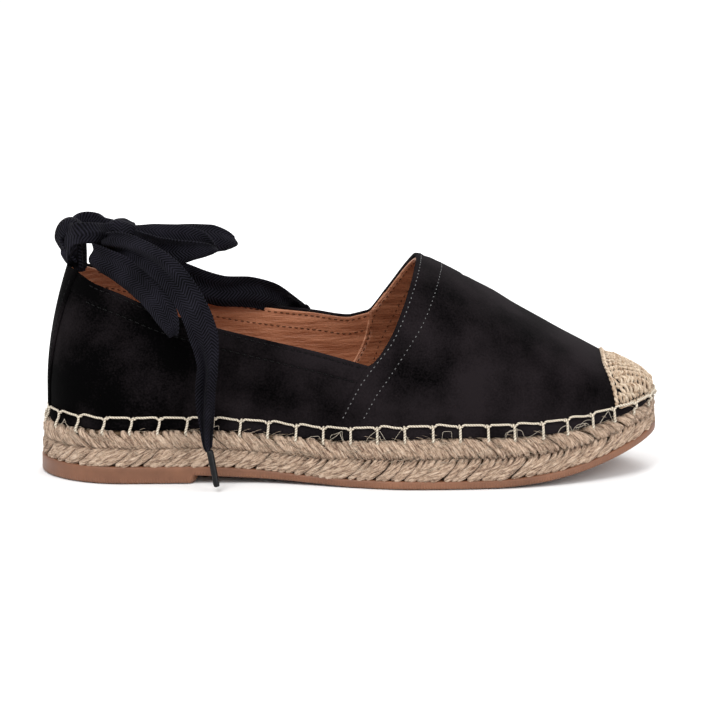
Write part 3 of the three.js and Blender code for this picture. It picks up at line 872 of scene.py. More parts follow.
@dataclass(frozen=True)
class Jute:
    """Plant fibre in strands, streaked along each strand by its flat map."""

    name: str
    dark: Triple
    middle: Triple
    pale: Triple
    twist: float = 0.5
    streaks: float = 6.5
    span: Triple = (0.43, 0.52, 0.64)

    def make(self) -> bpy.types.Material:
        """Twisted fibres with a colour of each strand's own."""
        r = Recipe(self.name, 0.88, Sheen_Weight=0.1, Specular_IOR_Level=0.25)
        round_, along = r.parts(r.flat_map())
        spun = round_ + along * self.twist
        lay = r.node("ShaderNodeCombineXYZ", values={0: spun * self.streaks, 1: along * 1.1})
        fibre = r.cloud(lay, 1.7, 6, 0.72)
        patch = r.cloud(r.object_place(), 150, 4, 0.6)
        fine = r.cloud(r.object_place(), 1100, 3, 0.7)
        mixed = fibre * 0.75 + patch * 0.12 + fine * 0.16
        low, mid, high = self.span
        colour = r.colours(mixed, (low, self.dark), (mid, self.middle), (high, self.pale))
        return r.paint(colour, fibre + fine * 0.3, 0.0016, 1.0)


@dataclass(frozen=True)
class JuteCore:
    """Shadowed fibre behind the strands."""

    name: str = "jute_core"

    def make(self) -> bpy.types.Material:
        """Dark brown straw, darkened as painted shade, with a rough bump."""
        r = Recipe(self.name, 0.95)
        here = r.object_place()
        rough = r.cloud(r.stretched(here, (300, 300, 900)), 1.0, 4, 0.7)
        # Painted shade: the fibre behind the strands is coloured dark as if in shadow
        colour = r.colours(rough, (0.3, (0.05, 0.027, 0.014)), (0.7, (0.2, 0.125, 0.07)))
        return r.paint(colour, rough, 0.001, 0.8)


@dataclass(frozen=True)
class Rubber:
    """Caramel rubber, finely ribbed along its lower edge."""

    name: str = "caramel_rubber"
    dark: Triple = (0.125, 0.05, 0.025)
    pale: Triple = (0.215, 0.093, 0.048)

    def make(self) -> bpy.types.Material:
        """Ribs by the flat map, whose second part is the height up the edge."""
        r = Recipe(self.name, 0.5, Specular_IOR_Level=0.4)
        here = r.object_place()
        along, up = r.parts(r.flat_map())
        ribs = (along * (TURN / 1.1)).sine() * 0.5 + 0.5
        low = (up * -1.0 + 0.9).held()
        mottle = r.cloud(here, 60, 4, 0.6)
        # ribs * low also darkens the ribs' grooves near the lower edge: painted shade in the
        # grooves
        colour = r.colours(mottle + ribs * low * 0.12, (0.3, self.dark), (0.7, self.pale))
        return r.paint(colour, ribs * low + mottle * 0.4, 0.0005, 0.5, mottle * 0.3 + 0.35)


@dataclass(frozen=True)
class CottonTape:
    """Black herringbone cotton tape, woven by its flat map in millimetres."""

    name: str = "cotton_tape"
    dark: Triple = (0.0003, 0.0003, 0.0005)
    pale: Triple = (0.0165, 0.0155, 0.023)
    stripe: float = 3.6
    pitch: float = 1.35

    def make(self) -> bpy.types.Material:
        """Slanted ribs that turn back at each stripe."""
        r = Recipe(
            self.name, 0.8, Sheen_Weight=0.012, Sheen_Roughness=0.35, Specular_IOR_Level=0.05
        )
        across, along = r.parts(r.flat_map())
        slant = across.fold(self.stripe)
        ribs = ((along + slant * 0.8) * (TURN / self.pitch)).sine() * 0.5 + 0.5
        yarn = r.cloud(r.flat_map(), 1.7, 4, 0.75)
        patches = r.cloud(r.object_place(), 90, 3)
        mixed = ribs * 0.3 + yarn * 0.62 + patches * 0.4
        colour = r.colours(mixed, (0.5, self.dark), (0.9, self.pale))
        return r.paint(colour, ribs + yarn * 0.5, 0.0004, 0.7)


@dataclass(frozen=True)
class Thread:
    """Sewing thread, twisted by its flat map."""

    name: str
    dark: Triple
    pale: Triple
    roughness: float = 0.7
    shine: float = 0.3

    def make(self) -> bpy.types.Material:
        """Two shades round the twist."""
        r = Recipe(self.name, self.roughness, Specular_IOR_Level=self.shine)
        round_, along = r.parts(r.flat_map())
        ply = ((round_ * 2 + along * 9) * (TURN)).sine() * 0.5 + 0.5
        colour = r.colours(ply, (0.2, self.dark), (0.8, self.pale))
        return r.paint(colour, ply, 0.0003, 0.5)


@dataclass(frozen=True)
class GlossBlack:
    """Glossy black wrap of the aglets."""

    name: str = "aglet_black"

    def make(self) -> bpy.types.Material:
        """Near black, barely mottled."""
        r = Recipe(self.name, 0.35, Specular_IOR_Level=0.2)
        mottle = r.cloud(r.object_place(), 700, 2)
        colour = r.colours(mottle, (0.3, (0.002, 0.002, 0.0025)), (0.7, (0.006, 0.006, 0.007)))
        return r.paint(colour, mottle, 0.0001, 0.2)


@dataclass(frozen=True)
class Floor:
    """Plain pale studio floor."""

    name: str = "pale_floor"

    def make(self) -> bpy.types.Material:
        """White, all but even."""
        r = Recipe(self.name, 0.9)
        cloud = r.cloud(r.object_place(), 3, 1)
        return r.paint(r.colours(cloud, (0.0, (0.86, 0.86, 0.86)), (1.0, (0.87, 0.87, 0.87))))


class Finishes:
    """All the object's materials, made once."""

    def __init__(self) -> None:
        """Make each finish."""
        self.suede = Suede().make()
        self.lining = Lining().make()
        # Darker, more saturated copy of the lining: painted shade where the vamp's lining lies in
        # shadow
        self.vamp_lining_painted_shade = Lining("vamp_lining_painted_shade", (0.16, 0.052, 0.023), (0.4, 0.165, 0.082)).make()
        self.edge = Lining("lining_edge", (0.36, 0.15, 0.08), (0.6, 0.3, 0.18)).make()
        self.braid = Jute(
            "jute_braid", (0.15, 0.083, 0.053), (0.53, 0.37, 0.26), (0.82, 0.65, 0.5)
        ).make()
        self.weave = Jute(
            "jute_weave", (0.32, 0.19, 0.11), (0.68, 0.52, 0.37), (0.92, 0.8, 0.64), 0.8, 3.0
        ).make()
        self.core = JuteCore().make()
        self.rubber = Rubber().make()
        self.tape = CottonTape().make()
        self.cream = Thread("cream_thread", (0.34, 0.28, 0.21), (0.68, 0.61, 0.5)).make()
        self.black = Thread(
            "black_thread", (0.002, 0.002, 0.002), (0.014, 0.0135, 0.014), 0.8, 0.04
        ).make()
        # Grey thread, paler than the black collar thread, for the vamp's stitches: painted
        # highlight on the black thread
        self.pale = Thread("vamp_thread_painted_highlight", (0.04, 0.04, 0.04), (0.23, 0.23, 0.23), 0.6, 0.1).make()
        self.brown = Thread(
            "brown_thread", (0.05, 0.017, 0.008), (0.12, 0.045, 0.02), 0.6, 0.15
        ).make()
        self.gloss = GlossBlack().make()


def from_heel(x: float, y: float, z: float) -> Vector:
    """Point measured from the heel's back, in the shared frame."""
    return Vector((x - LAST.length / 2, y, z))


def heel_curve(rows: Sequence[tuple[float, ...]], steps: int) -> list[Vector]:
    """Curve through points measured from the heel's back."""
    return curve_points([from_heel(*row[:3]) for row in rows], steps)


def shoe_core(point: Vector) -> Vector:
    """A point inside the upper for a point of its skin."""
    return Vector((min(max(point.x, -85), 80), 0, 25))


def creases(point: Vector) -> float:
    """Listed soft troughs and ridges of the suede, in millimetres."""
    x, y, z = point.x + LAST.length / 2, point.y, point.z
    side = 1 if y < 0 else -1
    walk = 0.0
    for place, slant, width, depth in (
        (172, 0.25, 5.0, -0.5), (181, 0.3, 4.0, 0.4), (190, 0.35, 5.0, -0.45),
        (201, 0.3, 5.5, 0.3),
    ):
        walk += 0.3 * depth * bump(x + slant * abs(y), place + 6, width) * smooth(z, 34, 52)
    hollow = -0.7 * bump(x, 78, 16) * bump(z, 44, 13) - 0.5 * bump(x, 40, 10) * bump(z, 62, 14)
    swell = 0.5 * bump(x, 104, 11) * bump(z, 38, 9) + 0.4 * bump(x - 0.4 * z, 34, 8) * side
    seam = -0.35 * bump(x + 0.5 * (62 - z), 139, 5) * bump(z, 58, 16)
    low = 0.25 * math.sin(x / 9.5 + side) * bump(z, 34, 6)
    lumps = 0.16 * noise(Vector((x / 17, y / 13, z / 15)))
    return walk + hollow + swell + seam + low + lumps


@dataclass
class Camera:
    """Long lens from the photograph's side, a little above."""

    elevation: float = 11.0
    distance: float = 2.0
    target: Triple = (0.0005, 0.0090, 0.0461)
    width: float = 0.2861
    sensor: float = 36.0

    def build(self) -> None:
        """Make the camera and use it."""
        data = bpy.data.cameras.new("camera")
        data.sensor_width = self.sensor
        data.lens = self.sensor * self.distance / self.width
        data.clip_start, data.clip_end = 0.05, 20.0
        obj = put("camera", data)
        rise = math.radians(self.elevation)
        back = Vector((0, -math.cos(rise), math.sin(rise)))
        obj.location = Vector(self.target) + back * self.distance
        obj.rotation_euler = (QUARTER - rise, 0, 0)
        bpy.context.scene.camera = obj


@dataclass
class Studio:
    """Pale floor and soft lights."""

    floor: float = 6.0
    level: float = -0.0003
    world: float = 0.9
    aim: float = 0.04

    def light(self, name: str, place: Triple, size: float, power: float) -> None:
        """Add a soft light that looks at the shoe."""
        data = bpy.data.lights.new(name, "AREA")
        data.size, data.energy = size, power
        obj = put(name, data)
        obj.location = place
        gaze = Vector((0, 0, self.aim)) - Vector(place)
        obj.rotation_euler = gaze.to_track_quat("-Z", "Y").to_euler()

    def build(self) -> None:
        """Make floor, world and lights."""
        bm = bmesh.new()
        bmesh.ops.create_grid(bm, x_segments=2, y_segments=2, size=self.floor / 2)
        bmesh.ops.translate(bm, vec=(0, 0, self.level), verts=bm.verts[:])
        mesh = bpy.data.meshes.new("studio_floor")
        bm.to_mesh(mesh)
        bm.free()
        mesh.materials.append(Floor().make())
        put("studio_floor", mesh)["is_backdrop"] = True
        world = bpy.data.worlds.new("studio")
        world.use_nodes = True
        sky = world.node_tree.nodes["Background"]
        sky.inputs[0].default_value = (1, 1, 1, 1)
        sky.inputs[1].default_value = self.world
        bpy.context.scene.world = world
        bpy.context.scene.view_settings.view_transform = "Standard"
        for name, place, size, power in (
            ("key", (-0.5, -0.9, 1.3), 0.9, 16.0),
            ("fill", (0.9, -0.8, 0.7), 0.8, 6.0),
            ("back", (0.3, 1.1, 1.1), 0.8, 12.0),
        ):
            self.light(name, place, size, power)


@dataclass
class Ribbon:
    """A length of tape along a route, folded where it lies narrower than it is."""

    name: str
    rows: tuple[tuple[float, ...], ...]
    wall: float = 0.7
    tape: float = 15.0
    folds: float = 1.5
    steps: int = 7
    across: int = 14
    cup: float = 0.6
    fold_limit: float = 1.5
    seed: float = 0.0
    hidden_start: tuple[tuple[float, ...], ...] = ()
    hidden_end: tuple[tuple[float, ...], ...] = ()

    def route(self) -> list[Vector]:
        """Centre line of the part that shows."""
        return heel_curve(self.rows, self.steps)

    def build(self, finishes: Finishes, replaces: Iterable[str]) -> bpy.types.Object:
        """Make the tape's piece."""
        rows = (*self.hidden_start, *self.rows, *self.hidden_end)
        route = heel_curve(rows, self.steps)
        run = lengths_of(route)
        last = len(route) - 1
        ups, wides = [], []
        for i in range(last + 1):
            k = min(i // self.steps, len(rows) - 2)
            t = i / self.steps - k
            a, b = rows[k], rows[k + 1]
            ups.append(Vector(a[3:6]).lerp(Vector(b[3:6]), t))
            wides.append(a[6] + (b[6] - a[6]) * t)
        frames = frames_of(route, ups)
        piece = Piece(self.name)

        def place(u: float, v: float) -> Vector:
            """Point of the tape."""
            i = round(v * last)
            out, across = frames[i]
            wide = wides[i]
            spare = max((self.tape / wide) ** 2 - 1, 0) ** 0.5
            depth = min(spare * wide / (TURN * self.folds), self.fold_limit)
            s = run[i] / 9 + self.seed
            wave = math.cos(TURN * self.folds * u + math.sin(s) * 0.9 + self.seed)
            bow = self.cup * (1 - (2 * u - 1) ** 2) * math.sin(s * 0.9 + 1)
            crumple = 0.35 * noise(Vector((u * 2.5, run[i] / 6, self.seed)))
            return route[i] + across * ((u - 0.5) * wide) + out * (depth * wave + bow + crumple)

        piece.grid(self.across, last, place, lambda u, v: (u * self.tape, run[round(v * last)]))
        return piece.finish(finishes.tape, "cotton_tape", replaces, self.wall, True, 1)


# Places from the heel's back; a tape's rows add its direction across and its width
STRAND = (
    (29.5, -2.5, 96.3), (25.7, -4.6, 96.5), (22, -8.4, 97.5), (17, -9.9, 98),
    (13.6, -7, 97), (13.8, 0, 96), (13.6, 7, 97.5), (17, 9.9, 99.5),
    (22, 8.4, 99.5), (25.7, 4.6, 98), (29.5, 2.5, 97.2),
)
LOOP_OUTER = (
    (36, -2, 96.6, 0, 0.3, 1, 6), (45, -3.5, 95.8, 0, 0.45, 1, 10),
    (56, -5, 94.8, 0, 0.5, 1, 12), (64.5, -7, 93.6, 0, 0.45, 1, 9.8),
    (69, -9, 92.3, 0.1, 0.3, 1, 5.6), (71.2, -11.2, 91.4, 0.2, 0.1, 1, 2.2),
    (68.5, -13.4, 91.6, 0, -0.1, 1, 5), (62.5, -14.8, 91.6, 0, -0.2, 1, 8),
    (53, -14, 90.8, 0, -0.3, 1, 12.5), (44.5, -9, 92.2, 0, -0.2, 1, 11), (37, -3, 95, 0, 0, 1, 7),
)
LOOP_INNER = (
    (36, 2.5, 96, 0, 0.2, 1, 6), (47, 5.5, 94.4, 0, 0.4, 1, 9.5), (60, 7.5, 92.9, 0, 0.4, 1, 11),
    (70, 9, 92.4, 0, 0.3, 1, 11.5), (75.5, 10.8, 91.2, 0.1, 0.2, 1, 8),
    (78.4, 13, 90.2, 0.2, 0, 1, 3.4), (75, 15, 91.2, 0.1, -0.2, 1, 7),
    (69, 15.5, 92.4, 0, -0.3, 1, 11), (58, 13.5, 92.9, 0, -0.3, 1, 11),
    (47, 8, 93.8, 0, -0.2, 1, 9), (37, 3.5, 95.4, 0, 0, 1, 6),
)
LOOP_LOW = (
    (35, -3, 93.5, 0, 0.2, 1, 7), (27, -5, 91.6, 0, 0.4, 1, 10), (21.8, -9.5, 90.2, 0.2, 0, 1, 8),
    (26, -14, 88, 0.35, -0.2, 1, 10.5), (34, -19, 84.6, 0.5, -0.2, 1, 12),
    (42, -26, 80, 0.6, -0.1, 0.8, 12.5), (48.5, -33, 74.4, 0.7, 0, 0.7, 11.5),
    (52.4, -36.9, 68.4, 0.85, 0, 0.5, 9.5), (54.3, -38.3, 64, 0.95, 0, 0.25, 6.5),
    (55, -37.6, 61.2, 1, 0, 0.1, 3), (54.4, -35.8, 62.8, 0.95, 0, 0.25, 6),
    (52.6, -34.6, 67.6, 0.85, 0, 0.5, 8.5), (49, -31.2, 75.5, 0.7, 0, 0.7, 10),
    (43, -24.4, 82, 0.6, -0.1, 0.8, 9),
)
TAIL_OUTER = (
    (27, -8, 93.5, 0.2, -0.5, 0.8, 8), (32, -15, 94.5, 0.2, -0.5, 0.8, 10),
    (42, -24, 92, 0.4, -0.4, 0.8, 11), (53, -32.5, 85.5, 0.7, -0.2, 0.6, 12),
    (62, -37.5, 74, 0.9, 0, 0.3, 12), (67, -38.5, 61, 1, 0, 0, 12),
    (68.5, -38.5, 49, 1, -0.3, 0, 8), (67.5, -39, 38, 1, -0.6, 0, 8),
    (68, -41, 27, 1, 0, 0, 6), (68.8, -43.6, 16.5, 1, 0, 0, 3),
)
TAIL_INNER = (
    (39, 0.6, 91, 0, 1, 0.3, 5), (48, 4, 84, 0, 1, 0.8, 9), (58, 10, 76, 0.2, 0.4, 1, 12),
    (72, 14.5, 70, 0.1, 0, 1, 13), (84, 16.5, 69, 0, 0.05, 1, 13),
    (91.6, 17.9, 67, 0.25, 0, 1, 12.6), (96, 21, 64.4, 0.55, -0.1, 0.85, 12),
    (99.6, 25.4, 63.2, 1, -0.2, 0.3, 11.5), (102.6, 32, 60, 1, 0, 0, 11),
    (107.2, 34.6, 52, 1, 0, 0, 10),
    (111, 35, 47, 1, 0, 0, 9), (112.5, 37, 34, 1, 0.3, 0, 8), (114, 40, 24, 1, 0, 0, 6),
    (114.5, 43, 16.5, 1, 0, 0, 3),
)
AGLET_OUTER = ((69.3, -43.7, 16), (72.3, -48, 1.7))
AGLET_INNER = ((114.6, 43.2, 16), (116.5, 47.5, 1.7))


@dataclass
class AnkleTie:
    """The tape behind the heel: strand, knot, bow and two tails with aglets."""

    knot_start: float = 25.6
    knot_end: float = 39.4
    knot_height: float = 96.6
    knot_radius: float = 5.4
    strand_wide: float = 3.1
    strand_high: float = 1.5
    aglet: float = 1.35

    def knot(self, finishes: Finishes) -> bpy.types.Object:
        """Barrel of tape wrapped round the bow's middle."""
        piece = Piece("knot_wrap")
        length = self.knot_end - self.knot_start

        def place(u: float, v: float) -> Vector:
            """Point of the barrel, drawn in at its ends."""
            turn = TURN * u
            end = min(v, 1 - v)
            full = self.knot_radius * smooth(end, -0.02, 0.04) * (0.74 + 0.26 * smooth(end, 0, 0.4))
            if end < 0.001:
                full = 0.0
            folds = 1 + 0.05 * math.sin(3 * turn + 7 * v) + 0.035 * math.sin(8 * turn - 5 * v)
            run = 0.03 + 0.94 * v if 0.001 < v < 0.999 else v
            return from_heel(
                self.knot_start + length * run,
                full * folds * math.cos(turn),
                self.knot_height + full * folds * math.sin(turn),
            )

        piece.grid(40, 26, place, lambda u, v: (v * 13, u * 32))
        piece.merge()
        return piece.finish(finishes.tape, "cotton_tape", ["tie_knot"], levels=1)

    def strand(self, finishes: Finishes) -> bpy.types.Object:
        """Folded tape round the pull loop's neck."""
        piece = Piece("neck_strand")
        route = heel_curve(STRAND, 8)
        last = len(route) - 1
        frames = frames_of(route, [Vector((0, 0, 1))] * (last + 1))
        run = lengths_of(route)

        def place(u: float, v: float) -> Vector:
            """Point of the flattened strand, its folds lying along it."""
            i = round(v * last)
            thin, tall = frames[i]
            turn = TURN * u
            crease = 1 + 0.13 * math.cos(5 * turn + run[i] / 11) + 0.06 * math.cos(9 * turn)
            end = 0.0 if i in (0, last) else 1.0
            from_back = route[i].x + LAST.length / 2
            inside = smooth(7.5 - abs(route[i].y), 0, 4) * (1 - smooth(from_back, 16, 20))
            up = math.cos(turn)
            high = self.strand_wide * crease * end * (1.25 + inside * (0.3 if up > 0 else 2.1))
            wide = self.strand_high * crease * end * (1 + 1.25 * inside * (1 - 0.45 * max(-up, 0)))
            slip = thin * (inside * 1.6 * max(-up, 0))
            return route[i] + tall * (high * up) + thin * (wide * math.sin(turn)) - slip

        piece.grid(28, last, place, lambda u, v: (u * 15, run[round(v * last)]))
        piece.merge()
        return piece.finish(finishes.tape, "cotton_tape", ["tie_strand"])

    def tip(
        self, name: str, rows: Sequence[Triple], node: str, finishes: Finishes
    ) -> bpy.types.Object:
        """Aglet at a tail's end."""
        piece = Piece(name)
        start, end = (from_heel(*row) for row in rows)
        shares = (0, 0.004, 0.03, 0.1, 0.3, 0.5, 0.7, 0.9, 0.97, 0.996, 1)
        path = [start.lerp(end, t) for t in shares]
        size = (0, 0.7, 0.95, 1.03, 1.0, 0.98, 0.97, 0.95, 0.85, 0.5, 0)
        piece.tube(path, lambda v, _: self.aglet * size[round(v * 10)], sides=20)
        return piece.finish(finishes.gloss, "aglet_black", [node])

    def build(self, finishes: Finishes) -> None:
        """Make every piece of the tie."""
        strand, knot = self.strand(finishes), self.knot(finishes)
        loops = []
        for name, rows, node, limit, seed in (
            ("bow_loop_near", LOOP_OUTER, "bow_loop_outer", 0.7, 1.3),
            ("bow_loop_far", LOOP_INNER, "bow_loop_inner", 0.7, 3.1),
            ("bow_loop_hanging", LOOP_LOW, "bow_loop_low", 0.5, 5.2),
        ):
            loop = Ribbon(name, rows, folds=1.0, fold_limit=limit, seed=seed)
            loops.append(loop.build(finishes, [node]))
        near, far, low = loops
        for name, rows, node, aglet_rows, start, with_pieces in (
            (
                "tape_tail_near", TAIL_OUTER, "outer", AGLET_OUTER,
                ((32, -3.2, 94.5, 0.2, -0.4, 0.9, 5),), [strand, knot, near, low],
            ),
            (
                "tape_tail_far", TAIL_INNER, "inner", AGLET_INNER,
                ((36, 0, 94, 0, 1, 0.3, 4),), [far],
            ),
        ):
            ribbon = Ribbon(
                name, rows, seed=len(rows) * 0.7, steps=9,
                hidden_start=start, hidden_end=((*aglet_rows[0], 1, 0, 0, 2.6),),
            )
            tail = ribbon.build(finishes, [f"tail_{node}"])
            aglet = self.tip(f"{name}_aglet", aglet_rows, f"aglet_{node}", finishes)
            route = [point * MM for point in ribbon.route()]
            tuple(route[0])
            lengths_of(route)[-1]
            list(with_pieces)


@dataclass
class Sole:
    """Rubber outsole, jute midsole with two rows of braid, and the insole."""

    rubber_edge: float = 0.9
    pitch: float = 2.6
    lean_run: float = 10.4
    strand_radius: float = 1.3
    core_inset: float = 2.9
    seam_inset: float = 3.7
    belly: float = 2.3
    strand_rings: int = 11
    insole_inset: float = 5.8
    insole_thick: float = 2.5
    columns: int = 130
    fibres: int = 2300
    rng: random.Random = field(default_factory=lambda: random.Random(41))

    def places(self) -> list[tuple[float, Side]]:
        """Places round the outline, with a few at the heel block's step."""
        found = [LAST.share(k / self.columns) for k in range(self.columns + 1)]
        extra = (-0.15, 0, 0.3, LAST.step_run, LAST.step_run + 0.2)
        found += [(LAST.block + d) / LAST.length for d in extra]
        found.sort()
        return [(at, Side.LATERAL) for at in found] + [(at, Side.MEDIAL) for at in found[-2::-1]]

    def stack(self, name: str, levels: Sequence[Level]) -> Piece:
        """A solid round the sole from its levels.

        Args:
            name: The piece.
            levels: Growth of the outline, share of its width and height, from the
                middle of the underside round the edge to the middle of the top.

        Returns:
            The piece, closed.
        """
        piece = Piece(name)
        last = len(levels) - 1
        spots = self.places()
        round_ = len(spots) - 1

        def place(u: float, v: float) -> Vector:
            """Point of the skin."""
            grow, width, height = levels[round(v * last)]
            at, side = spots[round(u * round_)]
            return LAST.edge(at, side, grow, height(at), width)

        def flat(u: float, v: float) -> tuple[float, float]:
            """Length round in millimetres and height up the edge."""
            at, side = spots[round(u * round_)]
            arc = LAST.arc(at, side)
            lift = (levels[round(v * last)][2](at) - levels[0][2](at)) / 2.2
            return (arc if side is Side.LATERAL and u < 1 else LAST.girth() - arc), lift

        piece.grid(round_, last, place, flat)
        piece.merge()
        return piece

    def outsole(self, finishes: Finishes) -> None:
        """Rubber with a rounded lower edge and a raised rim of tread."""
        e = self.rubber_edge
        under, top = LAST.underside, LAST.rubber_top
        levels = [(-e - 4.0, w, lambda at: under(at) + 0.5) for w in (0, 0.35, 0.7, 0.9, 1)]
        levels += [(-e - 3.4, 1, under), (-e, 1, under)]
        for turn in (30, 60, 90):
            s, c = math.sin(math.radians(turn)), math.cos(math.radians(turn))
            levels.append((-e * (1 - s), 1, lambda at, c=c: under(at) + e * (1 - c)))
        levels += [
            (0, 1, lambda at, t=t: under(at) + e + (top(at) - under(at) - 1.5 * e) * t)
            for t in (0.33, 0.66, 1)
        ]
        levels += [(-e / 4, 1, lambda at: top(at) - e / 8), (-e, 1, top)]
        levels += [(-e, w, top) for w in (0.6, 0)]
        self.stack("outsole_rubber", levels).finish(finishes.rubber, "caramel_rubber", ["outsole"])

    def core(self, finishes: Finishes) -> None:
        """Filling behind the braid."""
        def height(share: float) -> Callable[[float], float]:
            """Height at a share of the jute's thickness."""
            return lambda at: (
                LAST.rubber_top(at) + 0.1
                + (LAST.jute_top(at) - LAST.rubber_top(at) - 0.4) * share
            )

        levels = [
            (-self.core_inset - sunk, width, height(share))
            for sunk, width, share in (
                (0, 0, 0), (0, 0.6, 0), (0.6, 1, 0), (0, 1, 0.08), (0, 1, 0.3),
                (0.5, 1, 0.5), (0, 1, 0.7), (0, 1, 0.92),
                (0.6, 1, 1), (0, 0.8, 1), (0, 0, 1),
            )
        ]
        # Its finish is the jute core's painted shade, seen between the braid's strands
        self.stack("jute_core", levels).finish(finishes.core, "jute_braid", ["jute_midsole"])

    def braid(self, finishes: Finishes) -> None:
        """Slanted strands of two rows that meet at a seam half-way up."""
        piece = Piece("jute_braid")
        whole = LAST.girth()
        count = round(whole / self.pitch)
        for row in (0, 1):
            for i in range(count):
                self.braid_strand(piece, row, (i + 0.5 * row) * whole / count, i + 1000 * row)
        piece.finish(finishes.braid, "jute_braid", ["jute_midsole"])

    def braid_strand(self, piece: Piece, row: int, start: float, mark: int) -> None:
        """One strand from the seam to its row's outer edge."""
        rng = self.rng
        run = self.lean_run * rng.uniform(0.8, 1.2)
        fat = self.strand_radius * rng.uniform(0.82, 1.16)
        proud = rng.uniform(-0.55, 0.35)
        lay = rng.uniform(0, math.pi)
        path, ups = [], []
        for k in range(self.strand_rings + 1):
            t = k / self.strand_rings
            at, side = LAST.round(start - run * t + 0.9 * math.sin(t * math.pi))
            low, high = LAST.rubber_top(at) + LAST.gap, LAST.jute_top(at)
            seam = (low + high) / 2
            grow = -self.seam_inset + self.belly * smooth(t, 0, 0.38) + proud
            if row:
                z = seam - 1.1 + (high - seam + 1.2) * t
                grow -= 2.4 * smooth(t, 0.74, 1.0)
            else:
                z = seam + 1.1 - (seam + 2.1 - low) * t
            point = LAST.edge(at, side, grow, z)
            path.append(point)
            ups.append((LAST.edge(at, side, grow + 2, z) - point).normalized())

        def thick(v: float, turn: float) -> float:
            """Radius of the two-ply strand, blunt at its outer end."""
            if v in (0, 1):
                return 0.0
            swell = 0.5 + 0.5 * smooth(v, 0, 0.3)
            return fat * swell * (1 + 0.13 * math.cos(2 * turn + 9 * v + lay))

        piece.tube(path, thick, 8, 0.86, ups, mark * 3.7)

    def loose_fibres(self, finishes: Finishes) -> None:
        """Fine hairs that stand off the braid."""
        piece = Piece("loose_fibres")
        rng = self.rng
        for i in range(self.fibres):
            at, side = LAST.round(rng.uniform(0, LAST.girth()))
            low, high = LAST.rubber_top(at) + 1, LAST.jute_top(at) + 0.4
            z = low + (high - low) * rng.random() ** 0.45
            root = LAST.edge(at, side, -0.9 if z < high - 1.5 else -2.2, z)
            out = (LAST.edge(at, side, 1.4, z) - root).normalized()
            along = Vector((-out.y, out.x, 0)) * rng.choice((-1, 1))
            long = rng.uniform(1.5, 6)
            lift, curl = rng.uniform(-0.7, 0.8), rng.uniform(0, 0.7) * rng.random()
            path = []
            for k in range(6):
                t = k / 5
                bend = math.sin(t * math.pi * rng.uniform(0.8, 1.1)) * curl
                rise = Vector((0, 0, lift * long * t * (1 - 0.4 * t)))
                path.append(root + along * (long * t) + out * (0.1 + bend) + rise)
            piece.tube(path, blunt(rng.uniform(0.06, 0.12)), 3, mark=i * 0.37)
        piece.finish(finishes.weave, "jute_braid")

    def insole(self, finishes: Finishes) -> None:
        """Leather-topped insole, a little cupped."""
        grow, thick = -self.insole_inset, self.insole_thick
        seat = LAST.seat
        levels = [(grow, w, seat) for w in (0, 0.6, 1)]
        levels.append((grow + 0.1, 1, lambda at: seat(at) + thick * 0.6))
        cup = ((1, 0), (0.96, 0.02), (0.85, 0.25), (0.6, 0.4), (0.3, 0.45), (0, 0.45))
        levels += [(grow - 0.3, w, lambda at, d=d: seat(at) + thick - d) for w, d in cup]
        self.stack("insole_sock", levels).finish(finishes.lining, "tan_lining", ["insole"])

    def build(self, finishes: Finishes) -> None:
        """Make every layer."""
        self.outsole(finishes)
        self.core(finishes)
        self.braid(finishes)
        self.loose_fibres(finishes)
        self.insole(finishes)


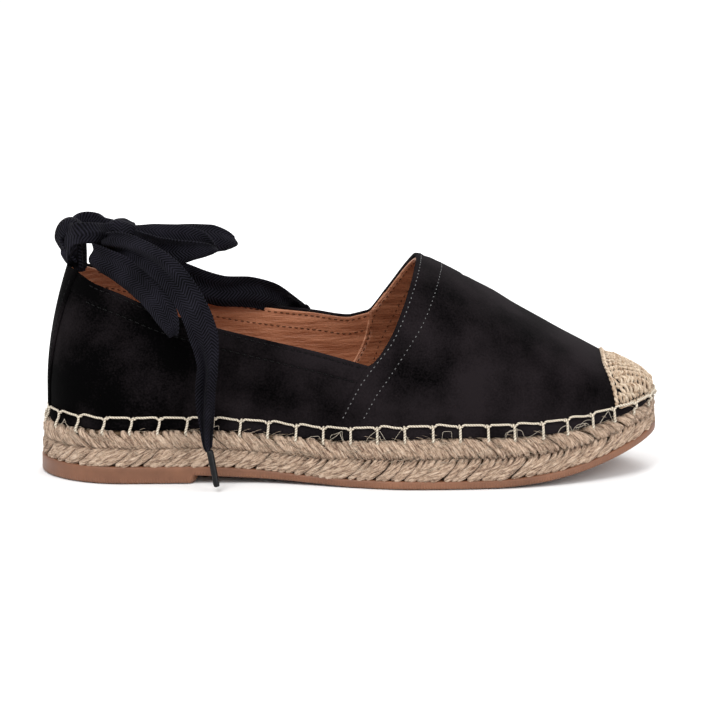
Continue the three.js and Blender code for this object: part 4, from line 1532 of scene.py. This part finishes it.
@dataclass
class Upper:
    """Suede quarters and vamp, their lining, and all the stitches on them."""

    suede: float = 1.1
    lining: float = 0.8
    inside: float = 1.15
    band: float = 8.0
    band_step: float = 0.35
    vamp_step: float = 0.9
    wisps: int = 34
    bulge: float = 1.1
    lining_tuck: float = 0.6
    collar_stitch: Triple = (1.9, 0.9, 0.24)
    vamp_stitch: Triple = (0.8, 1.4, 0.2)
    lining_stitch: Triple = (1.6, 0.9, 0.27)
    roll_share: float = 0.16
    band_share: float = 0.66
    pitch: float = 10.9
    first_stitch: float = 14.3
    leg_thread: float = 0.5
    top_thread: float = 0.45
    quarter_columns: int = 150
    vamp_columns: int = 130
    rng: random.Random = field(default_factory=lambda: random.Random(7))

    def stitch_phase(self) -> float:
        """Where the first blanket stitch stands on the foot line."""
        return LAST.arc(self.first_stitch / LAST.length, Side.LATERAL) % self.stitch_pitch()

    def stitch_pitch(self) -> float:
        """Blanket stitch pitch that goes evenly round."""
        return LAST.girth() / round(LAST.girth() / self.pitch)

    def roll_point(self, at: float, side: Side, rise: float, grow: float) -> Vector:
        """Point of the stitched roll at the upper's foot, drawn in at each stitch."""
        arc = LAST.arc(at, side)
        if side is Side.MEDIAL:
            arc = LAST.girth() - arc
        cell = abs(math.sin(math.pi * (arc - self.stitch_phase()) / self.stitch_pitch()))
        full = self.bulge * (0.25 + 0.95 * cell**0.55)
        base = LAST.seat(at)
        z = base + (LAST.foot(at) - base) * rise
        out = full * math.sin(math.pi * (0.25 + 0.75 * rise))
        return LAST.place(at, side, z, 1.0, grow + out)

    def quarter_point(
        self, at: float, side: Side, v: float, grow: float, trim: float, banded: bool
    ) -> Vector:
        """Point of the quarters between the seat and the topline.

        Args:
            at: Place along the shoe.
            side: Side of the foot.
            v: Share of the way up.
            grow: Distance out from the form.
            trim: How much lower than the topline it ends.
            banded: Whether the collar band stands proud.

        Returns:
            The point.
        """
        roll_share, band_share = self.roll_share, self.band_share
        if v < roll_share:
            tuck = 0.0 if banded else self.bulge * self.lining_tuck
            return self.roll_point(at, side, v / roll_share, grow - tuck)
        turn_top = LAST.collar_turn(at, side, grow)
        top = LAST.arch(at, side, turn_top, grow).z - trim
        foot = LAST.foot(at)
        band_low = max(top - self.band - 1.2, foot + 1)
        if v < band_share:
            z = foot + (band_low - foot) * (v - roll_share) / (band_share - roll_share)
        else:
            z = band_low + (top - band_low) * (v - band_share) / (1 - band_share)
        depth = top - z
        extra = 0.0
        if banded:
            extra = self.band_step * (1 - smooth(depth, self.band - 0.7, self.band + 0.1))
            extra -= 0.3 * (bump(depth, 1.6, 0.5) + bump(depth, self.band, 0.5))
            extra -= 0.45 * smooth(1 - depth, 0.2, 1.0)
        return LAST.arch(at, side, LAST.turn_of(at, z, grow + extra), grow + extra)

    def quarters(self, name: str, grow: float, trim: float, banded: bool) -> Piece:
        """The quarters' skin, round the heel from vamp to vamp."""
        piece = Piece(name)
        end = 0.56

        def place(u: float, v: float) -> Vector:
            """Point of the skin."""
            side = Side.LATERAL if u < 0.5 else Side.MEDIAL
            far = abs(2 * u - 1)
            at = end * (1 - math.cos(far * QUARTER)) if far < 1 else end
            return self.quarter_point(at, side, v, grow, trim, banded)

        piece.grid(self.quarter_columns * 2, 44, place)
        piece.merge()
        return piece

    def vamp_point(self, t: float, side: Side, v: float, grow: float, roll: bool) -> Vector:
        """Point of the vamp between its back edge, at nothing, and the toe, at one."""
        share = self.roll_share
        turn = max((v - share) / (1 - share), 0.0) * QUARTER
        start = LAST.vamp_start(side, turn, grow)
        at = start + (1 - start) * math.sin(t * QUARTER)
        if v < share:
            tuck = 0.0 if roll else self.bulge * self.lining_tuck
            return self.roll_point(at, side, v / share, grow - tuck)
        return LAST.arch(at, side, turn, grow)

    def vamp(self, name: str, grow: float, trim: float, roll: bool) -> Piece:
        """The vamp's skin, both sides joined at the ridge."""
        piece = Piece(name)

        def place(u: float, v: float) -> Vector:
            """Point of the skin."""
            side, up = halves(v)
            t = trim + (1 - trim) * u
            point = self.vamp_point(t, side, up, grow, roll)
            if roll:
                dip = bump(t, 0.026, 0.006) + bump(t, 0.132, 0.006)
                dip += 4.5 * smooth(t, 0.84, 1) * smooth(up, 0.22, 0.4)
                return point - self.out_of(point) * (0.35 * dip + 0.5 * (1 - smooth(t, 0, 0.012)))
            return point

        piece.grid(self.vamp_columns, 92, place)
        piece.merge()
        return piece

    @staticmethod
    def out_of(point: Vector) -> Vector:
        """Rough outward direction at a point of the upper."""
        return (point - shoe_core(point)).normalized()

    def skins(self, finishes: Finishes) -> None:
        """Suede outside and leather inside."""
        inside = -self.inside
        for piece, material, wall in (
            (self.quarters("quarter_suede", 0.0, 0.0, True), finishes.suede, self.suede),
            (self.vamp("vamp_suede", self.vamp_step, 0.0, True), finishes.suede, self.suede + 0.5),
            (self.quarters("quarter_lining", inside, 0.9, False), finishes.lining, self.lining),
            # The vamp's lining wears the darker lining copy, painted shade
            (
                self.vamp("vamp_lining_painted_shade", inside + 0.3, 0.008, False),
                finishes.vamp_lining_painted_shade, self.lining + 0.6,
            ),
        ):
            suede = material is finishes.suede
            piece.face_out(shoe_core)
            if suede:
                piece.sculpt(creases)
            piece.finish(material, "black_suede" if suede else "tan_lining", ["upper"], wall)

    def sew(
        self, piece: Piece, line: Sequence[Pair], long: float, space: float, radius: float
    ) -> None:
        """Lay stitches along a line.

        Args:
            piece: Where they go.
            line: Points with their outward directions.
            long: Length of a stitch.
            space: Gap between stitches.
            radius: Radius of the thread.
        """
        points = [point for point, _ in line]
        run = lengths_of(points)

        def at_length(want: float) -> Pair:
            """Point and direction at a length."""
            i, t = find(run, want)
            return points[i].lerp(points[i + 1], t), line[i][1].lerp(line[i + 1][1], t)

        dips = ((0, -0.35), (0.06, -0.1), (0.3, 0.12), (0.7, 0.12), (0.94, -0.1), (1, -0.35))
        size = (0, 0.9, 1, 1, 0.9, 0)
        place, number = space, 0
        while place + long < run[-1]:
            path, ups = [], []
            for t, lift in dips:
                point, out = at_length(place + long * t)
                path.append(point + out * lift)
                ups.append(out)
            piece.tube(path, lambda v, _: radius * size[round(v * 5)], 6, 1.0, ups, number * 0.7)
            place += (long + space) * self.rng.uniform(0.96, 1.04)
            number += 1

    def collar_line(self, side: Side, depth: float, grow: float, inner: bool) -> list[Pair]:
        """Line at a depth below the topline, from the heel to the notch."""
        start, end, last = 0.045, 0.545, 89
        found = []
        for k in range(last + 1):
            at = start + (end - start) * k / last
            top = LAST.arch(at, side, LAST.collar_turn(at, side, grow), grow).z
            turn = LAST.turn_of(at, top - depth, grow)
            out = LAST.normal(at, side, turn, grow)
            found.append((LAST.arch(at, side, turn, grow), -out if inner else out))
        return found

    def vamp_line(self, side: Side, back: float, grow: float, inner: bool) -> list[Pair]:
        """Line at a distance before the vamp's back edge, from its foot to the ridge."""
        last = 69
        turns = [QUARTER * (0.02 + 0.98 * k / last) for k in range(last + 1)]
        starts = [LAST.vamp_start(side, turn, grow) for turn in turns]
        reach = 5 if back < 5 else 13
        found = []
        for k, turn in enumerate(turns):
            span = min(reach, k, last - k)
            near = starts[k - span : k + span + 1]
            at = sum(near) / len(near) + back / LAST.length
            out = LAST.normal(at, side, turn, grow)
            found.append((LAST.arch(at, side, turn, grow), -out if inner else out))
        return found

    def seams(self, finishes: Finishes) -> None:
        """Rows of stitches on the collar, the vamp and the lining."""
        collar, vamp, inner = (
            Piece(f"{place}_stitches") for place in ("collar", "vamp", "lining")
        )
        inside = -self.inside - self.lining

        def creased(line: Sequence[Pair]) -> list[Pair]:
            """The line, moved with the suede's troughs and ridges."""
            return [(point + out * creases(point), out) for point, out in line]

        for side in Side:
            for depth, grow in ((1.6, self.band_step - 0.15), (self.band, 0.05)):
                line = self.collar_line(side, depth, grow, False)
                behind_vamp = [pair for pair in line if pair[0].x < 8]
                self.sew(collar, creased(behind_vamp), *self.collar_stitch)
            for back in (2.1, 10.6):
                line = self.vamp_line(side, back, self.vamp_step - 0.15, False)
                self.sew(vamp, creased(line), *self.vamp_stitch)
            for depth in (2.2, self.band):
                line = self.collar_line(side, depth, inside + 0.1, True)
                self.sew(inner, line, *self.lining_stitch)
            for back in (2.6, 9.4):
                line = self.vamp_line(side, back, inside - 0.2, True)
                self.sew(inner, line, *self.lining_stitch)
        edge = Piece("lining_edge")
        line = self.vamp_line(Side.MEDIAL, 1.5, inside, True)
        edge.tube([point for point, _ in line], blunt(0.6), 6, 0.6, [out for _, out in line])
        for piece, material, slot in (
            (edge, finishes.edge, "tan_lining"),
            (collar, finishes.black, "black_suede"),
            # The vamp's stitches wear the paler thread, a painted highlight
            (vamp, finishes.pale, "black_suede"),
            (inner, finishes.brown, "tan_lining"),
        ):
            piece.finish(material, slot)

    def blanket(self, finishes: Finishes) -> None:
        """Thick cream thread that holds the upper to the jute."""

        def lean_thread(v: float, _: float) -> float:
            """Radius of a leg, thinner as it climbs."""
            return 0.0 if v in (0, 1) else self.leg_thread * (1.15 - 0.2 * v)

        piece = Piece("blanket_stitch")
        pitch, whole = self.stitch_pitch(), LAST.girth()
        first = self.stitch_phase()
        marks = [
            first + pitch * k + self.rng.uniform(-0.5, 0.5) for k in range(round(whole / pitch))
        ]
        for number, arc in enumerate(marks):
            at, side = LAST.round(arc)
            over = self.cap_lift(at)
            base, foot = LAST.seat(at), LAST.foot(at)
            skin = over - LAST.feather
            rows = (
                (-2.2, base - 2.0), (-0.9, base - 1.1), (-1.1, base + 0.3),
                (skin + 1.3, base + (foot - base) * 0.5),
                (skin + 0.9, foot - 0.2), (skin - 0.6, foot + 0.5),
            )
            path = curve_points([LAST.edge(at, side, grow, z) for grow, z in rows], 4)
            piece.tube(path, lean_thread, 8, mark=number * 1.3)
            there = marks[(number + 1) % len(marks)] + (whole if number + 1 == len(marks) else 0)
            run = []
            steps = 14
            droop = self.rng.uniform(-0.25, 0.35)
            for k in range(steps + 1):
                t = k / steps
                spot, flank = LAST.round(arc + (there - arc) * t)
                arch = 1.5 * smooth(t, 0, 0.16) - 0.5 * t - 1.1 * smooth(t, 0.84, 1)
                z = LAST.foot(spot) - 0.7 + arch + droop * math.sin(TURN * t)
                run.append(LAST.edge(spot, flank, -LAST.feather + 0.75 + self.cap_lift(spot), z))
            piece.tube(run, blunt(self.top_thread), 8, mark=number * 1.3 + 0.6)
        piece.finish(finishes.cream, "jute_weave")

    def curls(self, finishes: Finishes) -> None:
        """Pale wisps of jute that stand over the stitches."""
        piece = Piece("jute_wisps")
        whole, rng = LAST.girth(), self.rng
        for number in range(self.wisps):
            arc = rng.uniform(0, whole)
            long, high = rng.uniform(4, 10), rng.uniform(2, 5)
            twirl, phase = rng.uniform(0.2, 0.8), rng.uniform(0, math.pi)
            path = []
            for k in range(13):
                t = k / 12
                at, side = LAST.round(arc + long * t + twirl * math.cos(9 * t + phase))
                hill = math.sin(math.pi * t)
                z = LAST.jute_top(at) - 0.5 + high * hill + twirl * math.sin(9 * t + phase)
                path.append(LAST.edge(at, side, -1.6 + 0.5 * hill + self.cap_lift(at), z))
            piece.tube(path, blunt(rng.uniform(0.07, 0.11)), 4, mark=number * 0.7)
        piece.finish(finishes.cream, "jute_braid")

    @staticmethod
    def cap_lift(at: float) -> float:
        """How much further out the thread lies over the vamp and the toe weave."""
        return 0.9 * smooth(at, 0.45, 0.5) + 1.3 * smooth(at, 0.935, 0.955)

    def build(self, finishes: Finishes) -> None:
        """Make skins and seams."""
        self.skins(finishes)
        self.seams(finishes)
        self.blanket(finishes)
        self.curls(finishes)


@dataclass
class ToeCap:
    """Woven jute over the toe: strands over and under, on a backing, with a corded edge."""

    depth: float = 19.8
    side_depth: float = 14.5
    lift: float = 1.9
    grow: float = 1.2
    pitch: float = 2.0
    radius: float = 0.76
    wave: float = 0.66
    thin: float = 1.3
    cord: float = 0.62
    cord_lay: float = 0.5
    cord_twist: float = 1.5
    rng: random.Random = field(default_factory=lambda: random.Random(19))
    arcs: list = field(default_factory=list)
    stops: int = 70

    def back_edge(self, turn: float) -> float:
        """Place of the cap's back edge at a turn."""
        return 1 - (self.side_depth + (self.depth - self.side_depth) * math.sin(turn)) / LAST.length

    def measure(self) -> None:
        """Lay out each section's arc from the ridge down to the lower edge."""
        for k in range(self.stops + 1):
            at = self.along(k / self.stops)
            sides = {}
            low = LAST.turn_of(at, LAST.seat(at) + self.lift + 0.5, self.grow)
            for side in Side:
                turns = [QUARTER + (low - QUARTER) * i / 40 for i in range(41)]
                points = [LAST.arch(at, side, turn, self.grow) for turn in turns]
                sides[side] = (points, lengths_of(points))
            self.arcs.append((at, sides))

    def along(self, t: float) -> float:
        """Place for a share from the back edge to the tip, closer at the tip."""
        start = 1 - self.depth / LAST.length
        return start + (1 - start) * math.sin(t * QUARTER)

    def on(self, x: float, d: float, lift: float) -> Vector | None:
        """Point of the cap.

        Args:
            x: Distance forward of the back edge at the ridge.
            d: Distance from the ridge along the section, to the outer side below nothing.
            lift: Height over the surface.

        Returns:
            The point, or None beyond the cap's edge.
        """
        place = self.stop_of(x)
        i = min(int(place), self.stops - 1)
        side = Side.LATERAL if d < 0 else Side.MEDIAL
        found = []
        for k in (i, i + 1):
            points, run = self.arcs[k][1][side]
            if abs(d) > run[-1]:
                return None
            j, t = find(run, abs(d))
            found.append(points[j].lerp(points[j + 1], t))
        point = found[0].lerp(found[1], place - i)
        out = (point - Vector((min(point.x, 92), point.y * 0.55 + 2, point.z - 22))).normalized()
        return point + out * (lift - self.thin * (1 - smooth(x - self.side_slip(d), 0, 6)))

    def stop_of(self, x: float) -> float:
        """Which of the measured sections stands at a distance forward."""
        return math.asin(min(ramp(x, 0, self.depth), 0.9999)) * 2 / math.pi * self.stops

    def reach(self, x: float, side: Side) -> float:
        """Length of the section's arc at a distance forward."""
        return self.arcs[round(self.stop_of(x))][1][side][1][-1]

    def strands(self, finishes: Finishes) -> None:
        """Crossing strands, each over its neighbour and under the next."""
        piece = Piece("toe_weave")
        across = int(self.depth / self.pitch)
        half = int(max(self.reach(0.5, side) for side in Side) / self.pitch)
        number = 0
        places = [0.6 + i * self.pitch for i in range(across + 1)]
        places += [self.depth * share for share in (0.985, 0.9985)]
        for i, x in enumerate(places):
            low, high = -self.reach(x, Side.LATERAL), self.reach(x, Side.MEDIAL)
            steps = max(int((high - low) / (self.pitch / 4)), 6)
            jog = self.rng.uniform(-0.15, 0.15)
            path = []
            for k in range(steps + 1):
                d = low + (high - low) * k / steps
                wave = self.wave * math.cos(math.pi * (d / self.pitch + i))
                slip = x + self.side_slip(d) + jog + 0.16 * noise(Vector((d * 0.4, i * 3.1, 0)))
                point = self.on(min(slip, self.depth * 0.9995), d * 0.999, wave)
                if point is not None:
                    path.append(point)
            self.lay(piece, path, number)
            number += 1
        for j in range(-half, half + 1):
            d = (j + 0.5) * self.pitch
            path = []
            steps = across * 5
            slip = self.side_slip(d)
            for k in range(steps + 1):
                x = slip + (self.depth - slip) * math.sin(k / steps * QUARTER)
                count = (x - 0.6) / self.pitch + 1.5 * smooth(k / steps, 0.86, 1)
                wave = -self.wave * math.cos(math.pi * (count + j + 0.5))
                point = self.on(x, d + 0.16 * noise(Vector((x * 0.4, j * 2.3, 5))), wave)
                if point is None:
                    break
                path.append(point)
            self.lay(piece, path, number)
            number += 1
        piece.finish(finishes.weave, "jute_weave", ["toe_cap"])

    def side_slip(self, d: float) -> float:
        """How far forward the back edge lies at a distance from the ridge."""
        return (self.depth - self.side_depth) * smooth(abs(d), 14, 40)

    def lay(self, piece: Piece, path: list[Vector], number: int) -> None:
        """Lay one strand, if it is long enough."""
        if len(path) < 5:
            return
        fat = self.radius * self.rng.uniform(0.82, 1.12)
        piece.tube(path, blunt(fat), 6, 0.9, mark=number * 2.3)

    def backing(self, finishes: Finishes) -> None:
        """Closed skin under the strands."""
        piece = Piece("toe_backing")

        def place(u: float, v: float) -> Vector:
            """Point of the skin."""
            side, up = halves(v)
            start = self.back_edge(up * QUARTER)
            at = start + (1 - start) * math.sin(u * QUARTER)
            low = LAST.turn_of(at, LAST.seat(at) + self.lift + 0.4, self.grow)
            under = self.thin * (1 - smooth((at - start) * LAST.length, 0, 6))
            return LAST.arch(at, side, low + (QUARTER - low) * up, self.grow - 0.2 - under)

        piece.grid(40, 80, place)
        piece.merge()
        piece.face_out(shoe_core)
        # The backing wears the jute core's painted shade, seen in the gaps between the strands
        piece.finish(finishes.core, "jute_weave", ["toe_cap"], 0.35)

    def border(self, finishes: Finishes) -> None:
        """Two-ply cord along the back edge and the lower edge."""
        piece = Piece("toe_border")
        back = []
        low_side, high_side = -self.reach(0, Side.LATERAL), self.reach(0, Side.MEDIAL)
        for k in range(121):
            d = low_side + (high_side - low_side) * k / 120
            point = self.on(self.side_slip(d), d * 0.98, 0.9)
            if point is not None:
                back.append(point)
        lower = []
        for side, ks in ((Side.LATERAL, range(0, 61)), (Side.MEDIAL, range(59, -1, -1))):
            for k in ks:
                start = 1 - self.side_depth / LAST.length
                at = start + (1 - start) * math.sin(k / 60 * QUARTER)
                turn = LAST.turn_of(at, LAST.seat(at) + self.lift + 0.7, self.grow)
                lower.append(LAST.arch(at, side, turn, self.grow + 0.3))
        for line in (back, lower):
            frames = frames_of(line, None)
            run = lengths_of(line)
            for ply in (0, math.pi):
                turns = [s * self.cord_twist + ply for s in run]
                path = [
                    point + (across * math.cos(turn) + out * math.sin(turn)) * self.cord_lay
                    for point, (across, out), turn in zip(line, frames, turns)
                ]
                piece.tube(path, blunt(self.cord), 6, mark=ply)
        piece.finish(finishes.weave, "jute_weave", ["toe_cap"])

    def build(self, finishes: Finishes) -> None:
        """Make backing, strands and border."""
        self.measure()
        self.backing(finishes)
        self.strands(finishes)
        self.border(finishes)


@dataclass
class HeelTrim:
    """Strip up the heel's back and the pull loop over it."""

    foot_width: float = 14.0
    top_width: float = 25.0
    narrow_below: float = 27.0
    wide_above: float = 79.0
    stay_stitch: Triple = (1.8, 0.9, 0.22)
    grow: float = 0.3
    thick: float = 0.7
    centre: tuple[float, float] = (12.4, 95.6)
    radius: float = 5.75
    stretch: float = 1.18
    loop_width: float = 11.0

    def stay_at(self, z: float, c: float, grow: float) -> Vector:
        """Point of the strip at a height and a share across it."""
        widening = ramp(z, self.narrow_below, self.wide_above)
        wide = self.foot_width + (self.top_width - self.foot_width) * widening
        want = c * wide / 2
        shift = LAST.plan(0.0, 0)[1]
        side = Side.LATERAL if want < 0 else Side.MEDIAL

        def skin(at: float) -> Vector:
            """Point of the upper at the height."""
            return LAST.arch(at, side, LAST.turn_of(at, z, grow), grow)

        low, _ = narrow(0.0, 0.135, lambda at: abs(skin(at).y - shift) > abs(want), 24)
        return skin(low)

    def stay(self, finishes: Finishes) -> None:
        """Strip of suede up the heel."""
        piece = Piece("heel_stay_strip")
        low = LAST.foot(0)

        def place(u: float, v: float) -> Vector:
            """Point of the strip, its edges pressed down."""
            c = 2 * u - 1
            top = LAST.opening(from_heel(9 + 2.5 * c * c, c * 12, 0)) - 0.2
            edge = smooth(1 - abs(c), 0, 0.09)
            grow = self.grow + self.thick * (0.35 + 0.65 * edge)
            return self.stay_at(low + (top - low) * v, c, grow)

        piece.grid(36, 50, place)
        piece.merge()
        piece.face_out(shoe_core)
        piece.finish(finishes.suede, "black_suede", ["heel_stay"], self.thick)
        seam = Piece("stay_stitches")
        sewer = Upper()
        for c in (-0.86, 0.86):
            line = []
            for k in range(60):
                z = low + 1 + (self.wide_above - low) * k / 59
                point = self.stay_at(z, c, self.grow + self.thick)
                line.append((point, (point - shoe_core(point)).normalized()))
            sewer.sew(seam, line, *self.stay_stitch)
        seam.finish(finishes.black, "black_suede")

    def loop(self, finishes: Finishes) -> None:
        """Strap bent to a drop, gathered at its neck."""
        x, z = self.centre
        rows = [(18.0, 0.0, 81.6)]
        for k in range(13):
            turn = math.pi * (-0.12 + 1.24 * k / 12)
            rise = self.radius * self.stretch * math.sin(turn)
            rows.append((x + self.radius * math.cos(turn), 0.0, z + rise))
        rows.append((13.8, 0.0, 83.6))
        middle = from_heel(x, 0.0, z)
        route = heel_curve(rows, 4)
        run = lengths_of(route)
        last = len(route) - 1
        frames = frames_of(route, [Vector((0, 1, 0))] * (last + 1))
        piece = Piece("pull_strap")

        def place(u: float, v: float) -> Vector:
            """Point of the strap, bowed across its width and pleated at its neck."""
            i = round(v * last)
            out, across = frames[i]
            neck = 1 - smooth(min(i, last - i), 2, 16)
            wide = self.loop_width * (1 - 0.2 * neck)
            bow = 4.6 * (-0.06 - (2 * u - 1) ** 2) * (1 - 0.5 * neck)
            pleat = 0.5 * neck * math.cos(4 * math.pi * u)
            dent = 0.3 * noise(Vector((u * 2, run[i] / 5, 2)))
            sign = 1 if out.dot(route[i] - middle) > 0 else -1
            return route[i] + across * ((u - 0.5) * wide) + out * (sign * (bow + pleat) + dent)

        piece.grid(16, last, place, lambda u, v: (u * 11, run[round(v * last)]))
        piece.finish(finishes.tape, "black_suede", ["pull_loop"], 1.6, True, 1)

    def gathers(self, finishes: Finishes) -> None:
        """Fluted folds of the strap between its legs."""
        piece = Piece("pull_gathers")
        rows = (
            (15.6, 0, 80.4, 0), (15.6, 0, 80.6, 2.4), (15.2, 0, 83, 2.7), (14, 0, 86, 3.9),
            (12.9, 0, 89, 4.6), (12.4, 0, 91.6, 3.6), (12.3, 0, 92, 0),
        )
        path = heel_curve(rows, 5)
        last = len(path) - 1

        def thick(v: float, turn: float) -> float:
            """Half width with its flutes."""
            k = min(int(v * (len(rows) - 1)), len(rows) - 2)
            t = v * (len(rows) - 1) - k
            full = rows[k][3] + (rows[k + 1][3] - rows[k][3]) * t
            return full * (1 + 0.12 * math.cos(6 * turn) + 0.05 * math.cos(11 * turn + 5 * v))

        piece.tube(path, thick, 36, 1.0, [Vector((0, 1, 0))] * (last + 1))
        piece.finish(finishes.tape, "black_suede", ["pull_loop"])

    def build(self, finishes: Finishes) -> None:
        """Make strip and loop."""
        self.stay(finishes)
        self.loop(finishes)
        self.gathers(finishes)


def main() -> None:
    """Build the shoe in order."""
    logging.basicConfig(level=logging.INFO, format="%(name)s: %(message)s")
    Camera().build()
    finishes = Finishes()
    for part in (AnkleTie(), Sole(), Upper(), ToeCap(), HeelTrim()):
        part.build(finishes)
    Studio().build()
    boxes = [[[float(n) for n in corner] for corner in box] for box in (CAD_BOX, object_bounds())]


if __name__ == "__main__":
    main()
